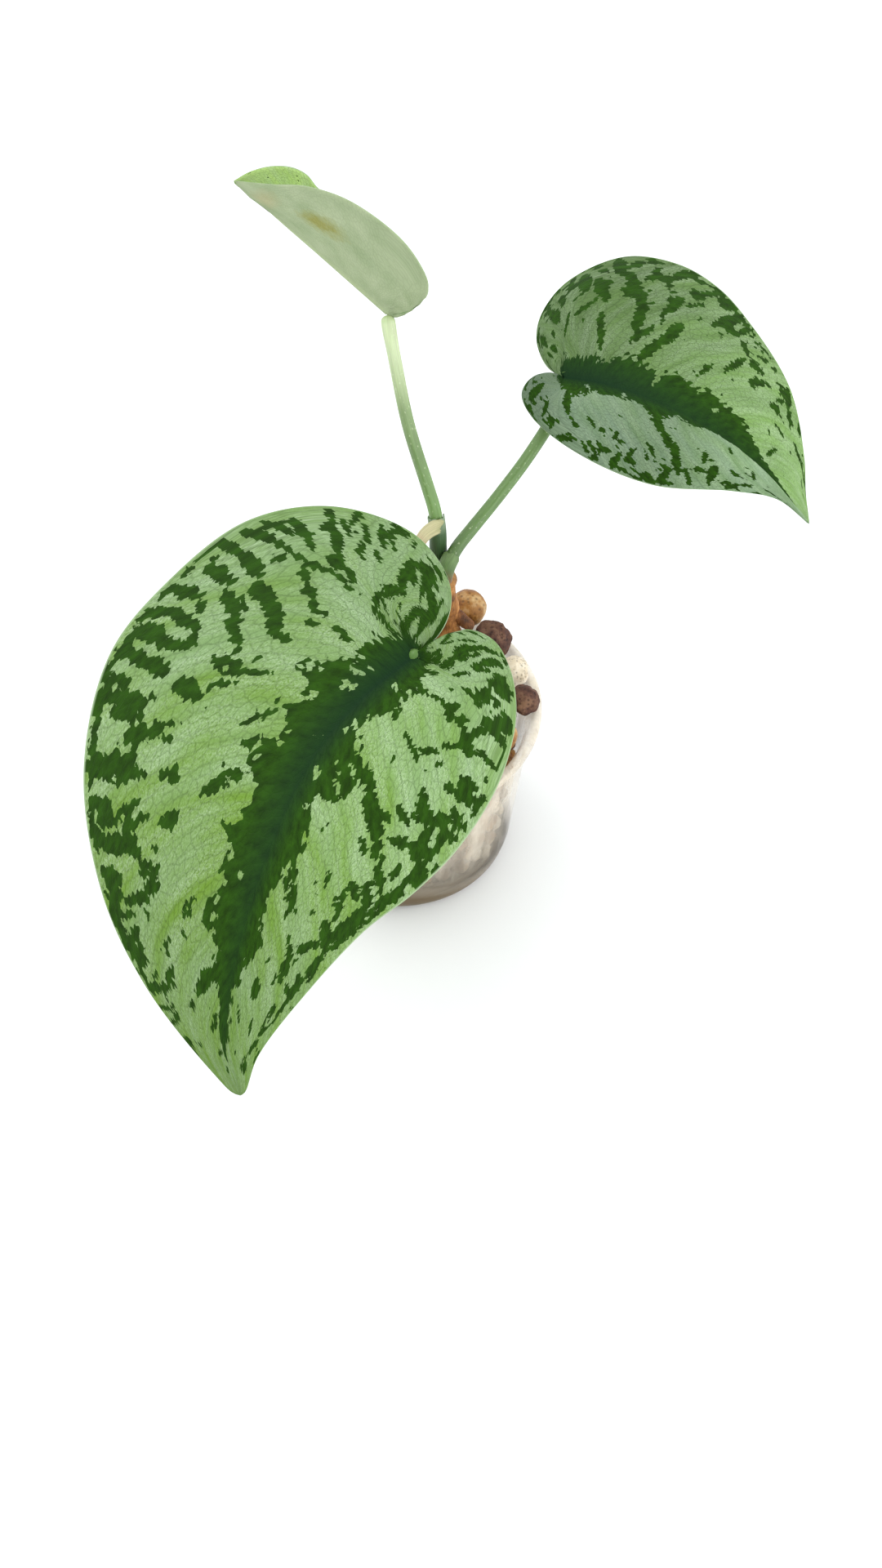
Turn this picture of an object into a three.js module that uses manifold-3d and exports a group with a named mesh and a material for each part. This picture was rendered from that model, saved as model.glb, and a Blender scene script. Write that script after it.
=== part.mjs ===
// A young satin pothos (Scindapsus pictus) with three leaves, growing in a small clear plastic cup
// of mixed clay balls, lava and pumice. Millimetres, +Z up. The origin is the middle of the cup's
// underside, on the surface that the cup stands on.
import * as THREE from "three";
import { mergeVertices } from "three/addons/utils/BufferGeometryUtils.js";
import Module from "manifold-3d";

const wasm = await Module();
wasm.setup();

// Driving dimensions
const gap = 0.3; // between pieces that touch

const potHeight = 35.4;
const potRimRadius = 26.5; // outside of the rolled rim
const potBaseRadius = 21;
const potWall = 1.0;
const potFloor = 1.4;
const rimBead = 1.0; // radius of the rolled rim
const baseCorner = 2.6;
const drainHoleRadius = 1.6;
const drainHoleCircle = 11;
const drainHoles = 6;

const bedShoulder = 31; // height of the bed where it meets the wall
const bedCrown = 5; // how far its middle is heaped above that
const ballRadius = 3.4; // the mean of the balls, which vary by 8 percent

const stemRadius = 2.5;
const stemRoute = [[9.2, 14.6, 27.4], [9.3, 14.4, 40.4], [8.65, 14.0, 54.9]];
const stemClearance = 1; // left free between the stem and the balls around it
const stemNodes = [0.42, 0.68, 0.92]; // where the leaf nodes swell, along the stem
const rootCrownRadius = 1.4; // the knot at the stem's foot that the roots leave from
const rootRadius = 1.0;
const rootArch = [2, 2, 4]; // how far the middle of each root lies off the straight line
const rootEnds = [[-14, 8, 5.5], [-8, -13, 4.5], [13, -7, 6.5], [4, 6, 4.5], [-2, 17, 11]];
const aerialRootRadius = 1.1;
const aerialRootRoute = [[11.2, 14.3, 43.2], [12.4, 13.8, 42.4], [13.6, 13.2, 41.3]];
const petioleRadius = 1.15;
const petioleFoot = 1.35; // radius where the petiole leaves the stem
const sheathWall = 0.5;
const sheathStart = 0.035; // along the petiole, as a part of its length
const sheathOpening = 90; // degrees left open around the petiole
const sheathLengths = { front: 9, right: 5, left: 11 };
const bractThickness = 0.4;
const bractCurl = 3; // radius of its curl across
const bractSpread = 28; // degrees to each side of its middle
const bractRoute = [[6.2, 13.1, 52.2], [5.1, 12.7, 55.9], [4.3, 12.7, 59.9], [4.3, 13.3, 63],
  [5.6, 14.0, 64.9], [7.2, 14.5, 66], [8.4, 14.9, 66.4]];
const bladeThickness = 0.7;

const colour = {
  clearPlastic: 0xe6e4da,
  bed: 0xa08a70,
  clay: 0x9e7038,
  lava: 0x5f4436,
  pumice: 0xe8ddc8,
  bark: 0x9a6a3a,
  root: 0xc9b48c,
  petiole: 0x78a05a,
  sheath: 0x4f6b4a,
  dryBract: 0xd9c39a,
  blade: 0x7fa268,
};

// The leaves. Each blade has a frame of its own at the point where the petiole joins it: along the
// midrib towards the tip, to the left of it, and up from its face. heading is measured from +X
// towards +Y, droop below the horizontal, and roll lifts the left side. Outlines run from the notch
// to the tip.
const leaves = {
  front: {
    joint: [4.0, -32.0, 81.7], heading: -113, droop: 24, roll: 0,
    veins: 24, steps: 6, dome: 3.0, bow: 0.16, fan: 0.34,
    midrib: [[8.5, -4.6, 0.8], [17.5, -7.7, 1.5], [27, -9.3, 1.5], [48.5, -9.3, -0.5], [66, -6.7, -6]],
    left: [[-3.6, 3.4, -0.4], [-6.8, 6.4, -1], [-6.8, 10.5, -2.5], [-3.5, 14.2, -4], [1, 16.7, -5],
      [6, 18, -6], [15, 18.2, -7], [25.5, 15.7, -8], [34.5, 11.6, -8], [42, 6.8, -8],
      [53.5, 2, -8], [66, -1.9, -8.5]],
    right: [[-4.8, 2.4, -0.2], [-10.2, 2.1, -1], [-15.4, -1.2, -2], [-20.8, -9.9, -3.5],
      [-21.2, -24.7, -4.5], [-14.7, -37.1, -5], [-1, -46, -6], [13, -50.5, -7], [32, -47.2, -8],
      [50, -36, -8], [62, -22.6, -8], [71.2, -6.4, -8.3]],
    tip: [72.4, -2.3, -9],
  },
  right: {
    joint: [29.9, 39.0, 78.6], heading: -37, droop: 4, roll: 12,
    veins: 20, steps: 6, dome: 2.4, bow: 0.14, fan: 0.32,
    midrib: [[7, 2.5, 0.5], [16.5, 4, 1], [29.5, 5, 0], [40, 4.5, -3]],
    left: [[-3.8, 0.4, 0], [-8.8, 4.2, -1], [-12.6, 10.9, -2], [-13.3, 21, -2.8], [-7.8, 31.4, -3],
      [1, 35.4, -3.5], [9.5, 35.2, -4], [18.7, 31.6, -4], [33, 23, -4], [43, 12.2, -5],
      [46.5, 7.4, -7]],
    right: [[-4.3, -2.4, -0.3], [-4.8, -6, -1.5], [-1, -8.4, -3], [9.8, -9.2, -5], [24, -6.8, -6],
      [36.4, 0, -6], [43.5, 3.2, -6.6]],
    tip: [50, 3.4, -9],
  },
  left: {
    joint: [-1.0, 34.7, 95.9], heading: 140, droop: -18, roll: 0,
    veins: 18, steps: 6, dome: -1.6, bow: 0.12, fan: 0.3,
    midrib: [[8.5, 0.2, 0.3], [17.2, 0.4, 0.6], [27, 0.2, 0.2]],
    left: [[-2.4, -1.8, 2.6], [-4, -2.8, 5.6], [-4, -3, 9.2], [-1.6, -2.3, 12.7], [3.3, -1.6, 15.3],
      [13.5, -0.8, 15.1], [22.2, -0.3, 11.3], [29, 0.1, 6.0]],
    right: [[-1.2, -3.6, 1.8], [-2.6, -6.4, 3.2], [2, -9.2, 4.3], [10, -10.2, 4.2], [19, -9.4, 3.2],
      [25, -8.2, 3.3], [27.6, -7.8, 4.5], [30, -6.4, 5.1], [33, -4.4, 4], [35.4, -2, 2]],
    tip: [36.8, 0, -0.2],
  },
};

// Petiole routes, from the stem to the joint of the blade.
const petioles = {
  front: [[8.0, 12.7, 50.8], [6.3, 6, 57.9], [5, -6, 68.6], [4.1, -18, 76.4], [4, -27, 79.4], [4.1, -31, 81]],
  right: [[8.5, 12.7, 54.3], [8.7, 12.3, 56], [9.25, 12.9, 57.7], [11, 15.9, 59.1], [13.5, 19.3, 60.2],
    [18.5, 25.4, 62.8], [24.4, 32.2, 67.2], [28.7, 37, 72.6], [29.8, 38.8, 77.8]],
  left: [[8.3, 14.9, 54], [7.8, 15.6, 55.8], [7.6, 16.3, 58.6], [7.5, 16.7, 62.4], [6.95, 17.8, 66.4],
    [5.75, 19.9, 69.9], [2.4, 25, 79.8], [0.4, 30, 88.3], [-0.9, 33.9, 94.6]],
};

// Where the stones of the top layer lie: four at the rim behind and beside the stem, where the heap
// spills over, and the others in rings on the bed, from the rim inwards.
const edgeStones = [
  { kind: "clay", x: 13.1, y: 20.5, size: 3.6 },
  { kind: "lava", x: 17.6, y: 13.6, size: 3.5 },
  { kind: "pumice", x: 21.2, y: 6.2, size: 3 },
  { kind: "lava", x: 23.2, y: -1.2, size: 2.7 },
];
const ballRings = [
  { radius: 21, count: 17, turn: 79 },
  { radius: 13.3, count: 10, turn: 20 },
  { radius: 5.8, count: 4, turn: 12 },
];

const vector = (p) => new THREE.Vector3(...p);
const degrees = THREE.MathUtils.degToRad;

// Solids and geometries

function geometryOf(positions, faces) {
  const geometry = new THREE.BufferGeometry();
  geometry.setAttribute("position", new THREE.Float32BufferAttribute(positions.flat(), 3));
  geometry.setIndex(faces.flat());
  return geometry;
}

function solidOf(geometry) {
  const plain = geometry.clone();
  plain.deleteAttribute("normal");
  plain.deleteAttribute("uv");
  const merged = mergeVertices(plain, 1e-4);
  const index = Array.from(merged.index.array);
  const triangles = [];
  for (let i = 0; i < index.length; i += 3) {
    const [a, b, c] = index.slice(i, i + 3);
    if (a !== b && b !== c && c !== a) triangles.push(a, b, c);
  }
  return new wasm.Manifold(new wasm.Mesh({
    numProp: 3,
    vertProperties: new Float32Array(merged.attributes.position.array),
    triVerts: new Uint32Array(triangles),
  }));
}

function geometryFrom(solid) {
  const mesh = solid.getMesh();
  const geometry = new THREE.BufferGeometry();
  geometry.setAttribute("position", new THREE.BufferAttribute(mesh.vertProperties, 3));
  geometry.setIndex(new THREE.BufferAttribute(mesh.triVerts, 1));
  return geometry;
}

// Cuts a solid and drops the offcuts.
function cutBack(solid, ...cutters) {
  const parts = cutters.reduce((rest, cutter) => rest.subtract(cutter), solid).decompose();
  return parts.sort((a, b) => b.volume() - a.volume())[0];
}

function latheUpright(profile, segments) {
  return new THREE.LatheGeometry(profile, segments).rotateX(Math.PI / 2);
}

// A round tube with closed ends, whose radius changes along a curve.
function taperedTube(points, radiusAt, steps, sides) {
  const curve = new THREE.CatmullRomCurve3(points.map(vector), false, "centripetal");
  const frames = curve.computeFrenetFrames(steps, false);
  const positions = [];
  const faces = [];
  for (let i = 0; i <= steps; i++) {
    const centre = curve.getPointAt(i / steps);
    const radius = radiusAt(i / steps);
    for (let k = 0; k < sides; k++) {
      const angle = (2 * Math.PI * k) / sides;
      const p = centre.clone();
      p.addScaledVector(frames.normals[i], radius * Math.cos(angle));
      p.addScaledVector(frames.binormals[i], radius * Math.sin(angle));
      positions.push(p.toArray());
    }
  }
  for (let i = 0; i < steps; i++) {
    for (let k = 0; k < sides; k++) {
      const a = i * sides + k;
      const b = i * sides + ((k + 1) % sides);
      faces.push([a, b, b + sides], [a, b + sides, a + sides]);
    }
  }
  const last = steps * sides;
  for (let k = 1; k < sides - 1; k++) {
    faces.push([0, k + 1, k], [last, last + k, last + k + 1]);
  }
  return geometryOf(positions, faces);
}

// The pot: one thin moulded wall with a rolled rim, a rounded corner and drain holes in its floor.

function potProfile() {
  const topRadius = potRimRadius - rimBead - potWall / 2;
  const outside = (z) => THREE.MathUtils.lerp(potBaseRadius, topRadius, z / potHeight);
  const beadCentre = new THREE.Vector2(potRimRadius - rimBead, potHeight - rimBead);
  const profile = [new THREE.Vector2(0, 0), new THREE.Vector2(potBaseRadius - baseCorner, 0)];
  for (const turn of [-60, -30, 0]) {
    profile.push(new THREE.Vector2(
      potBaseRadius - baseCorner + baseCorner * Math.cos(degrees(turn)),
      baseCorner + baseCorner * Math.sin(degrees(turn)),
    ));
  }
  for (let turn = -120; turn <= 150; turn += 45) {
    profile.push(new THREE.Vector2(
      beadCentre.x + rimBead * Math.cos(degrees(turn)),
      beadCentre.y + rimBead * Math.sin(degrees(turn)),
    ));
  }
  profile.push(new THREE.Vector2(outside(potHeight - 2.4 * rimBead) - potWall, potHeight - 2.4 * rimBead));
  profile.push(new THREE.Vector2(outside(potFloor + 1) - potWall, potFloor + 1));
  profile.push(new THREE.Vector2(outside(potFloor) - potWall - 1, potFloor));
  profile.push(new THREE.Vector2(0, potFloor));
  return profile;
}

function innerRadius(z) {
  const topRadius = potRimRadius - rimBead - potWall / 2;
  return THREE.MathUtils.lerp(potBaseRadius, topRadius, z / potHeight) - potWall;
}

function makePot() {
  let pot = solidOf(latheUpright(potProfile(), 48));
  for (let i = 0; i < drainHoles; i++) {
    const turn = (2 * Math.PI * i) / drainHoles;
    const hole = new THREE.CylinderGeometry(drainHoleRadius, drainHoleRadius, 4 * potFloor, 12)
      .rotateX(Math.PI / 2)
      .translate(drainHoleCircle * Math.cos(turn), drainHoleCircle * Math.sin(turn), potFloor / 2);
    pot = pot.subtract(solidOf(hole));
  }
  return pot;
}

// The mix: a heaped bed, and the balls that lie on top of it.

function bedHeight(r) {
  return bedShoulder + bedCrown * (1 - (r / innerRadius(bedShoulder)) ** 4);
}

function bedSlope(r) {
  return (4 * bedCrown * r ** 3) / innerRadius(bedShoulder) ** 4;
}

function bedProfile() {
  const bottom = potFloor + gap;
  const shoulder = bedShoulder - 1;
  const top = innerRadius(shoulder) - gap;
  const profile = [
    new THREE.Vector2(0, bottom),
    new THREE.Vector2(innerRadius(potFloor + 1) - 1 - gap, bottom),
    new THREE.Vector2(innerRadius(potFloor + 1.4) - gap, potFloor + 1.4 + gap),
    new THREE.Vector2(top, shoulder),
  ];
  for (const part of [0.97, 0.9, 0.8, 0.65, 0.45, 0]) {
    profile.push(new THREE.Vector2(part * top, bedHeight(part * top)));
  }
  return profile;
}

// A lumpy ball: an icosahedron whose corners sink a little, each by its own amount.
function ballGeometry(size, number) {
  const geometry = new THREE.IcosahedronGeometry(size, 1);
  const position = geometry.attributes.position;
  for (let i = 0; i < position.count; i++) {
    const p = new THREE.Vector3().fromBufferAttribute(position, i);
    const wave = Math.sin(1.7 * p.x + number) * Math.sin(1.3 * p.y + 2 * number) * Math.cos(1.1 * p.z);
    p.multiplyScalar(1 - 0.05 * (1 + wave) / 2);
    position.setXYZ(i, p.x, p.y, p.z);
  }
  return geometry;
}

function stemDistance(x, y) {
  return Math.hypot(x - stemRoute[1][0], y - stemRoute[1][1]);
}

// The height of a ball that rests on the heaped bed, or on the rolled rim where that is higher.
function restingHeight({ x, y, size }) {
  const r = Math.hypot(x, y);
  const onBed = bedHeight(r) + (size + gap) * Math.hypot(1, bedSlope(r));
  const across = r - (potRimRadius - rimBead);
  const reach = size + rimBead + gap;
  if (Math.abs(across) > reach) return onBed;
  return Math.max(onBed, potHeight - rimBead + Math.sqrt(reach ** 2 - across ** 2));
}

function placeBalls() {
  const kinds = ["pumice", "lava", "clay", "pumice", "clay"];
  const placed = edgeStones.map((stone) => ({ ...stone, z: restingHeight(stone) }));
  const isFree = ({ x, y, z, size }) => stemDistance(x, y) >= stemRadius + size + stemClearance
    && placed.every((other) => Math.hypot(other.x - x, other.y - y, other.z - z) >= other.size + size + gap);
  for (const ring of ballRings) {
    for (let i = 0; i < ring.count; i++) {
      const turn = degrees(ring.turn) + (2 * Math.PI * i) / ring.count;
      const radius = ring.radius + 0.4 * Math.sin(2.4 * i);
      const x = radius * Math.cos(turn);
      const y = radius * Math.sin(turn);
      const size = ballRadius * (0.98 + 0.08 * Math.sin(1.9 * i + ring.radius));
      const ball = { kind: kinds[(i + ring.count) % kinds.length], x, y, size, z: restingHeight({ x, y, size }) };
      if (isFree(ball)) placed.push(ball);
    }
  }
  return placed;
}

function ballSolid(ball, number) {
  return solidOf(ballGeometry(ball.size, number).translate(ball.x, ball.y, ball.z));
}

// Stem, roots and petioles

function stemShape(grow) {
  const radiusAt = (t) => {
    const swelling = stemNodes.reduce((sum, at) => sum + Math.exp(-(((t - at) / 0.045) ** 2)), 0);
    const end = t > 0.94 ? 1 - 4 * (t - 0.94) : 1;
    return (stemRadius * (1.08 - 0.22 * t) + 0.45 * swelling) * end + grow;
  };
  const [foot, middle, top] = stemRoute;
  const route = [[foot[0], foot[1], foot[2] - 2 * grow], middle, [top[0], top[1], top[2] + grow]];
  return solidOf(taperedTube(route, radiusAt, 22, 10));
}

// A short fat aerial root that leaves the stem's lowest free node.
function makeAerialRoot() {
  return solidOf(taperedTube(aerialRootRoute, (t) => aerialRootRadius * (1 - 0.45 * t), 6, 8));
}

function rootShape(grow) {
  const [x, y, foot] = stemRoute[0];
  const top = [x, y, foot - gap - rootCrownRadius];
  let roots = solidOf(new THREE.SphereGeometry(rootCrownRadius + grow, 10, 8).translate(...top));
  for (const end of rootEnds) {
    const middle = top.map((value, axis) => (value + end[axis]) / 2 + rootArch[axis]);
    const root = taperedTube([top, middle, end], (t) => rootRadius * (1.1 - 0.6 * t) + grow, 8, 6);
    roots = roots.add(solidOf(root));
  }
  return roots;
}

function petioleShape(route, grow) {
  const radiusAt = (t) => {
    const foot = (petioleFoot - petioleRadius) * Math.exp(-t / 0.15);
    const collar = 0.25 * Math.exp(-(((t - 0.97) / 0.05) ** 2));
    return petioleRadius + foot + collar + grow;
  };
  return solidOf(taperedTube(route, radiusAt, 20, 8));
}

// The sheath at a petiole's foot: a thin wrap around it, open along its upper side.
function sheathShape(route, length) {
  const steps = 5;
  const curve = new THREE.CatmullRomCurve3(route.map(vector), false, "centripetal");
  const part = length / curve.getLength();
  const points = [0, 0.25, 0.5, 0.75, 1].map((t) => curve.getPointAt(sheathStart + t * part));
  const extrudePath = new THREE.CatmullRomCurve3(points);
  const { normals, binormals } = extrudePath.computeFrenetFrames(steps, false);
  const upper = Math.atan2(binormals[0].z, normals[0].z);
  const inner = petioleFoot + gap;
  const outer = inner + sheathWall;
  const start = upper + degrees(sheathOpening / 2);
  const end = upper + degrees(360 - sheathOpening / 2);
  const shape = new THREE.Shape();
  shape.absarc(0, 0, outer, start, end, false);
  shape.absarc(0, 0, inner, end, start, true);
  shape.closePath();
  return solidOf(new THREE.ExtrudeGeometry(shape, { steps, extrudePath, curveSegments: 7 }));
}

// The dry bract: a curled papery strip left by an older leaf. It rises from the stem beside the left
// petiole and lies over that petiole's sheath.
function makeDryBract() {
  const centre = bractThickness / 2 - bractCurl;
  const edge = degrees(bractSpread);
  const shape = new THREE.Shape();
  shape.absarc(centre, 0, bractCurl, -edge, edge, false);
  shape.absarc(centre, 0, bractCurl - bractThickness, edge, -edge, true);
  shape.closePath();
  const extrudePath = new THREE.CatmullRomCurve3(bractRoute.map(vector));
  return solidOf(new THREE.ExtrudeGeometry(shape, { steps: 6, extrudePath, curveSegments: 4 }));
}

// Blades

function bladeFrame({ heading, droop, roll }) {
  const along = new THREE.Vector3(1, 0, 0);
  const left = new THREE.Vector3(0, 1, 0);
  const up = new THREE.Vector3(0, 0, 1);
  const turn = new THREE.Quaternion().setFromAxisAngle(up, degrees(heading));
  turn.multiply(new THREE.Quaternion().setFromAxisAngle(left, degrees(droop)));
  turn.multiply(new THREE.Quaternion().setFromAxisAngle(along, degrees(roll)));
  return [along, left, up].map((axis) => axis.applyQuaternion(turn));
}

// Half a blade as a grid: one row for each side vein, from the midrib out to the margin. The first
// rows fan out from the joint around the lobe, and the rest leave the midrib one after another.
function halfBlade(leaf, margin, frame) {
  const joint = [0, 0, 0];
  const edge = new THREE.CatmullRomCurve3([joint, ...margin, leaf.tip].map(vector), false, "centripetal");
  const rib = new THREE.CatmullRomCurve3([joint, ...leaf.midrib, leaf.tip].map(vector), false, "centripetal");
  const longest = Math.max(...margin.map((p) => Math.abs(p[1])));
  const rows = [];
  for (let i = 0; i <= leaf.veins; i++) {
    const w = i / leaf.veins;
    const start = rib.getPointAt(Math.max(0, (w - leaf.fan) / (1 - leaf.fan)));
    const end = edge.getPointAt(w);
    const chord = end.clone().sub(start);
    const back = new THREE.Vector3(-Math.abs(chord.y), Math.sign(chord.y) * chord.x, 0);
    const row = [];
    for (let j = 0; j <= leaf.steps; j++) {
      const t = j / leaf.steps;
      const hump = 4 * t * (1 - t);
      const p = start.clone().addScaledVector(chord, t);
      p.addScaledVector(back, hump * leaf.bow * w * (1 - w) * 2);
      p.z += hump * leaf.dome * Math.min(1, chord.length() / longest);
      const world = vector(leaf.joint);
      frame.forEach((axis, k) => world.addScaledVector(axis, p.getComponent(k)));
      row.push(world);
    }
    rows.push(row);
  }
  return rows;
}

function bladeSheet(leaf) {
  const frame = bladeFrame(leaf);
  const positions = [];
  const faces = [];
  for (const [margin, leftSide] of [[leaf.left, true], [leaf.right, false]]) {
    const rows = halfBlade(leaf, margin, frame);
    const first = positions.length;
    const wide = leaf.steps + 1;
    rows.flat().forEach((p) => positions.push(p.toArray()));
    for (let i = 0; i < leaf.veins; i++) {
      for (let j = 0; j < leaf.steps; j++) {
        const a = first + i * wide + j;
        const quad = [a, a + wide, a + wide + 1, a + 1];
        if (!leftSide) quad.reverse();
        faces.push([quad[0], quad[1], quad[2]], [quad[0], quad[2], quad[3]]);
      }
    }
  }
  const sheet = mergeVertices(geometryOf(positions, faces), 1e-3);
  const index = Array.from(sheet.index.array);
  const triangles = [];
  for (let i = 0; i < index.length; i += 3) {
    const triangle = index.slice(i, i + 3);
    if (new Set(triangle).size === 3) triangles.push(triangle);
  }
  sheet.setIndex(triangles.flat());
  sheet.computeVertexNormals();
  return { sheet, triangles };
}

// A closed solid of even thickness around a sheet.
function bladeSolid(leaf, thickness) {
  const { sheet, triangles } = bladeSheet(leaf);
  const { position, normal } = sheet.attributes;
  const count = position.count;
  const positions = [];
  for (const side of [0.5, -0.5]) {
    for (let i = 0; i < count; i++) {
      const p = new THREE.Vector3().fromBufferAttribute(position, i);
      const n = new THREE.Vector3().fromBufferAttribute(normal, i);
      positions.push(p.addScaledVector(n, side * thickness).toArray());
    }
  }
  const edges = new Map();
  const faces = [];
  for (const [a, b, c] of triangles) {
    faces.push([a, b, c], [a + count, c + count, b + count]);
    for (const [from, to] of [[a, b], [b, c], [c, a]]) {
      if (!edges.delete(`${to},${from}`)) edges.set(`${from},${to}`, [from, to]);
    }
  }
  for (const [from, to] of edges.values()) {
    faces.push([to, from, from + count], [to, from + count, to + count]);
  }
  return solidOf(geometryOf(positions, faces));
}

// Assembly

const plant = new THREE.Group();

function addPiece(name, solid, hex, roughness) {
  const material = new THREE.MeshStandardMaterial({ color: hex, roughness, metalness: 0 });
  const mesh = new THREE.Mesh(geometryFrom(solid), material);
  mesh.name = name;
  plant.add(mesh);
}

addPiece("pot", makePot(), colour.clearPlastic, 0.25);

const balls = placeBalls();
let bed = solidOf(latheUpright(bedProfile(), 32));
bed = bed.subtract(stemShape(gap)).subtract(rootShape(gap));
addPiece("mix_bed", bed, colour.bed, 0.9);

const names = { clay: "clay_ball", lava: "lava_stone", pumice: "pumice_stone" };
const counts = { clay: 0, lava: 0, pumice: 0 };
balls.forEach((ball, i) => {
  counts[ball.kind] += 1;
  const name = `${names[ball.kind]}_${String(counts[ball.kind]).padStart(2, "0")}`;
  addPiece(name, ballSolid(ball, i), colour[ball.kind], 0.85);
});

const stem = stemShape(0);
const stemRoom = stemShape(gap);
addPiece("stem", stem, colour.bark, 0.7);
addPiece("roots", rootShape(0), colour.root, 0.75);
addPiece("aerial_root", cutBack(makeAerialRoot(), stemRoom), colour.bark, 0.75);

for (const [side, route] of Object.entries(petioles)) {
  const leaf = leaves[side];
  const petiole = cutBack(petioleShape(route, 0), stemRoom, bladeSolid(leaf, bladeThickness + 2 * gap));
  addPiece(`petiole_${side}`, petiole, colour.petiole, 0.45);
  addPiece(`blade_${side}`, bladeSolid(leaf, bladeThickness), colour.blade, 0.4);
}

const petioleRooms = Object.values(petioles).map((route) => petioleShape(route, gap));
const sheathRooms = [];
for (const [side, route] of Object.entries(petioles)) {
  const sheath = cutBack(sheathShape(route, sheathLengths[side]), stemRoom, ...petioleRooms, ...sheathRooms);
  addPiece(`sheath_${side}`, sheath, colour.sheath, 0.5);
  sheathRooms.push(petioleShape(route, 2 * gap + sheathWall));
}
const bract = cutBack(makeDryBract(), stemRoom, ...sheathRooms);
addPiece("dry_bract", bract, colour.dryBract, 0.8);

export default plant;
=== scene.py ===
# A young satin pothos in a small clear cup of mineral mix. The sections follow the plant as it is put
# together: the cup, the mix, the roots and stem, the petioles with their sheaths, and the blades.
# Lengths are millimetres where no comment says otherwise, and MM turns them into metres.
import math

import bmesh
import bpy
import numpy as np
from mathutils import Matrix, Vector, noise


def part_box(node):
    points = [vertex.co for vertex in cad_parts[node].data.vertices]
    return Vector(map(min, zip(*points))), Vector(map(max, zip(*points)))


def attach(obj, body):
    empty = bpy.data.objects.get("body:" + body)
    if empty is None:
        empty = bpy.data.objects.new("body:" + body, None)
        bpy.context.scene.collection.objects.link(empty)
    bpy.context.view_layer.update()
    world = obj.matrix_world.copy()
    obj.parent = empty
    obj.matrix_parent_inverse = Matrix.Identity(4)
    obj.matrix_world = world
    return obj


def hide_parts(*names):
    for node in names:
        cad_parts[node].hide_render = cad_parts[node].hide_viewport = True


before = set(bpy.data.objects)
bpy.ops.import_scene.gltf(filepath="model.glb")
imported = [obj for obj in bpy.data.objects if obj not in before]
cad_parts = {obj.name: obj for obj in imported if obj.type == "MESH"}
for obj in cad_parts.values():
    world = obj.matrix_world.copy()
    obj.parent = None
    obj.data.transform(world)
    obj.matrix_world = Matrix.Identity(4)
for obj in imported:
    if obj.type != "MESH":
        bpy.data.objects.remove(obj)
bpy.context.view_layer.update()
scene = bpy.context.scene
MM = 0.001


# ---------------------------------------------------------------------------------------------------
# The stage: a wide pale floor and an even white sky, with one large soft lamp high on the left and a
# weaker one on the right, so that the blades show a broad satin sheen and nothing casts a hard shadow.

camera_place = (8.1, -265.9, 329.3)
camera_tilt = 40  # degrees from straight down
floor_width = 12.0  # metres

lens = bpy.data.cameras.new("camera")
lens.lens = 50
lens.sensor_width = 36
lens.clip_start = 0.01
camera = bpy.data.objects.new("camera", lens)
camera.location = Vector(camera_place) * MM
camera.rotation_euler = (math.radians(camera_tilt), 0, 0)
scene.collection.objects.link(camera)
scene.camera = camera
scene.view_settings.view_transform = "Standard"


def linear(hex_colour):
    """An sRGB hex colour as linear numbers."""
    parts = [int(hex_colour[i : i + 2], 16) / 255 for i in (1, 3, 5)]
    return [c / 12.92 if c <= 0.04045 else ((c + 0.055) / 1.055) ** 2.4 for c in parts] + [1.0]


def feed(tree, fed, inputs):
    """Gives a node's inputs, in order or by name, their values, or links them to another node's socket.
    Where a whole node is given, that is its first output in use."""
    for name, value in inputs.items() if isinstance(inputs, dict) else enumerate(inputs):
        if isinstance(value, bpy.types.Node):
            value = next(s for s in value.outputs if s.enabled)
        if isinstance(value, bpy.types.NodeSocket):
            tree.links.new(value, fed.inputs[name])
        else:
            fed.inputs[name].default_value = value


def new_material(name):
    """A material with only its Principled shader and output. Returns it, its tree and the shader."""
    material = bpy.data.materials.new(name)
    material.use_nodes = True
    tree = material.node_tree
    shader = next(n for n in tree.nodes if n.type == "BSDF_PRINCIPLED")
    return material, tree, shader


world = bpy.data.worlds.new("white_sky")
world.use_nodes = True
sky = world.node_tree.nodes["Background"]
sky.inputs["Color"].default_value = (0.97, 0.985, 1.0, 1)
sky.inputs["Strength"].default_value = 1.16
scene.world = world


def soft_lamp(name, place, aim, width, power):
    """A square area lamp, in metres and watts."""
    data = bpy.data.lights.new(name, "AREA")
    data.size = width
    data.energy = power
    lamp = bpy.data.objects.new(name, data)
    lamp.location = place
    lamp.rotation_euler = (Vector(aim) - Vector(place)).to_track_quat("-Z", "Y").to_euler()
    scene.collection.objects.link(lamp)


soft_lamp("key", (-0.42, 0.18, 0.85), (0, 0, 0.06), 0.55, 2.6)
soft_lamp("fill", (0.6, -0.22, 0.3), (0.02, 0, 0.01), 0.5, 1.8)

floor_mesh = bpy.data.meshes.new("floor")
half_floor = floor_width / 2
floor_corners = [(x * half_floor, y * half_floor, 0) for x, y in ((-1, -1), (1, -1), (1, 1), (-1, 1))]
floor_mesh.from_pydata(floor_corners, [], [(0, 1, 2, 3)])
floor = bpy.data.objects.new("floor", floor_mesh)
scene.collection.objects.link(floor)
floor_paint, tree, shader = new_material("matte_white_board")
feed(tree, shader, {"Base Color": linear("#F7F9FA"), "Roughness": 0.9})
floor_mesh.materials.append(floor_paint)


# ---------------------------------------------------------------------------------------------------
# The cup: a small clear polypropylene cup, injection moulded in one piece, with a rolled rim, a
# rounded foot and six drain holes. It is 1 mm thick, and faintly milky with dried lime.

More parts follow.
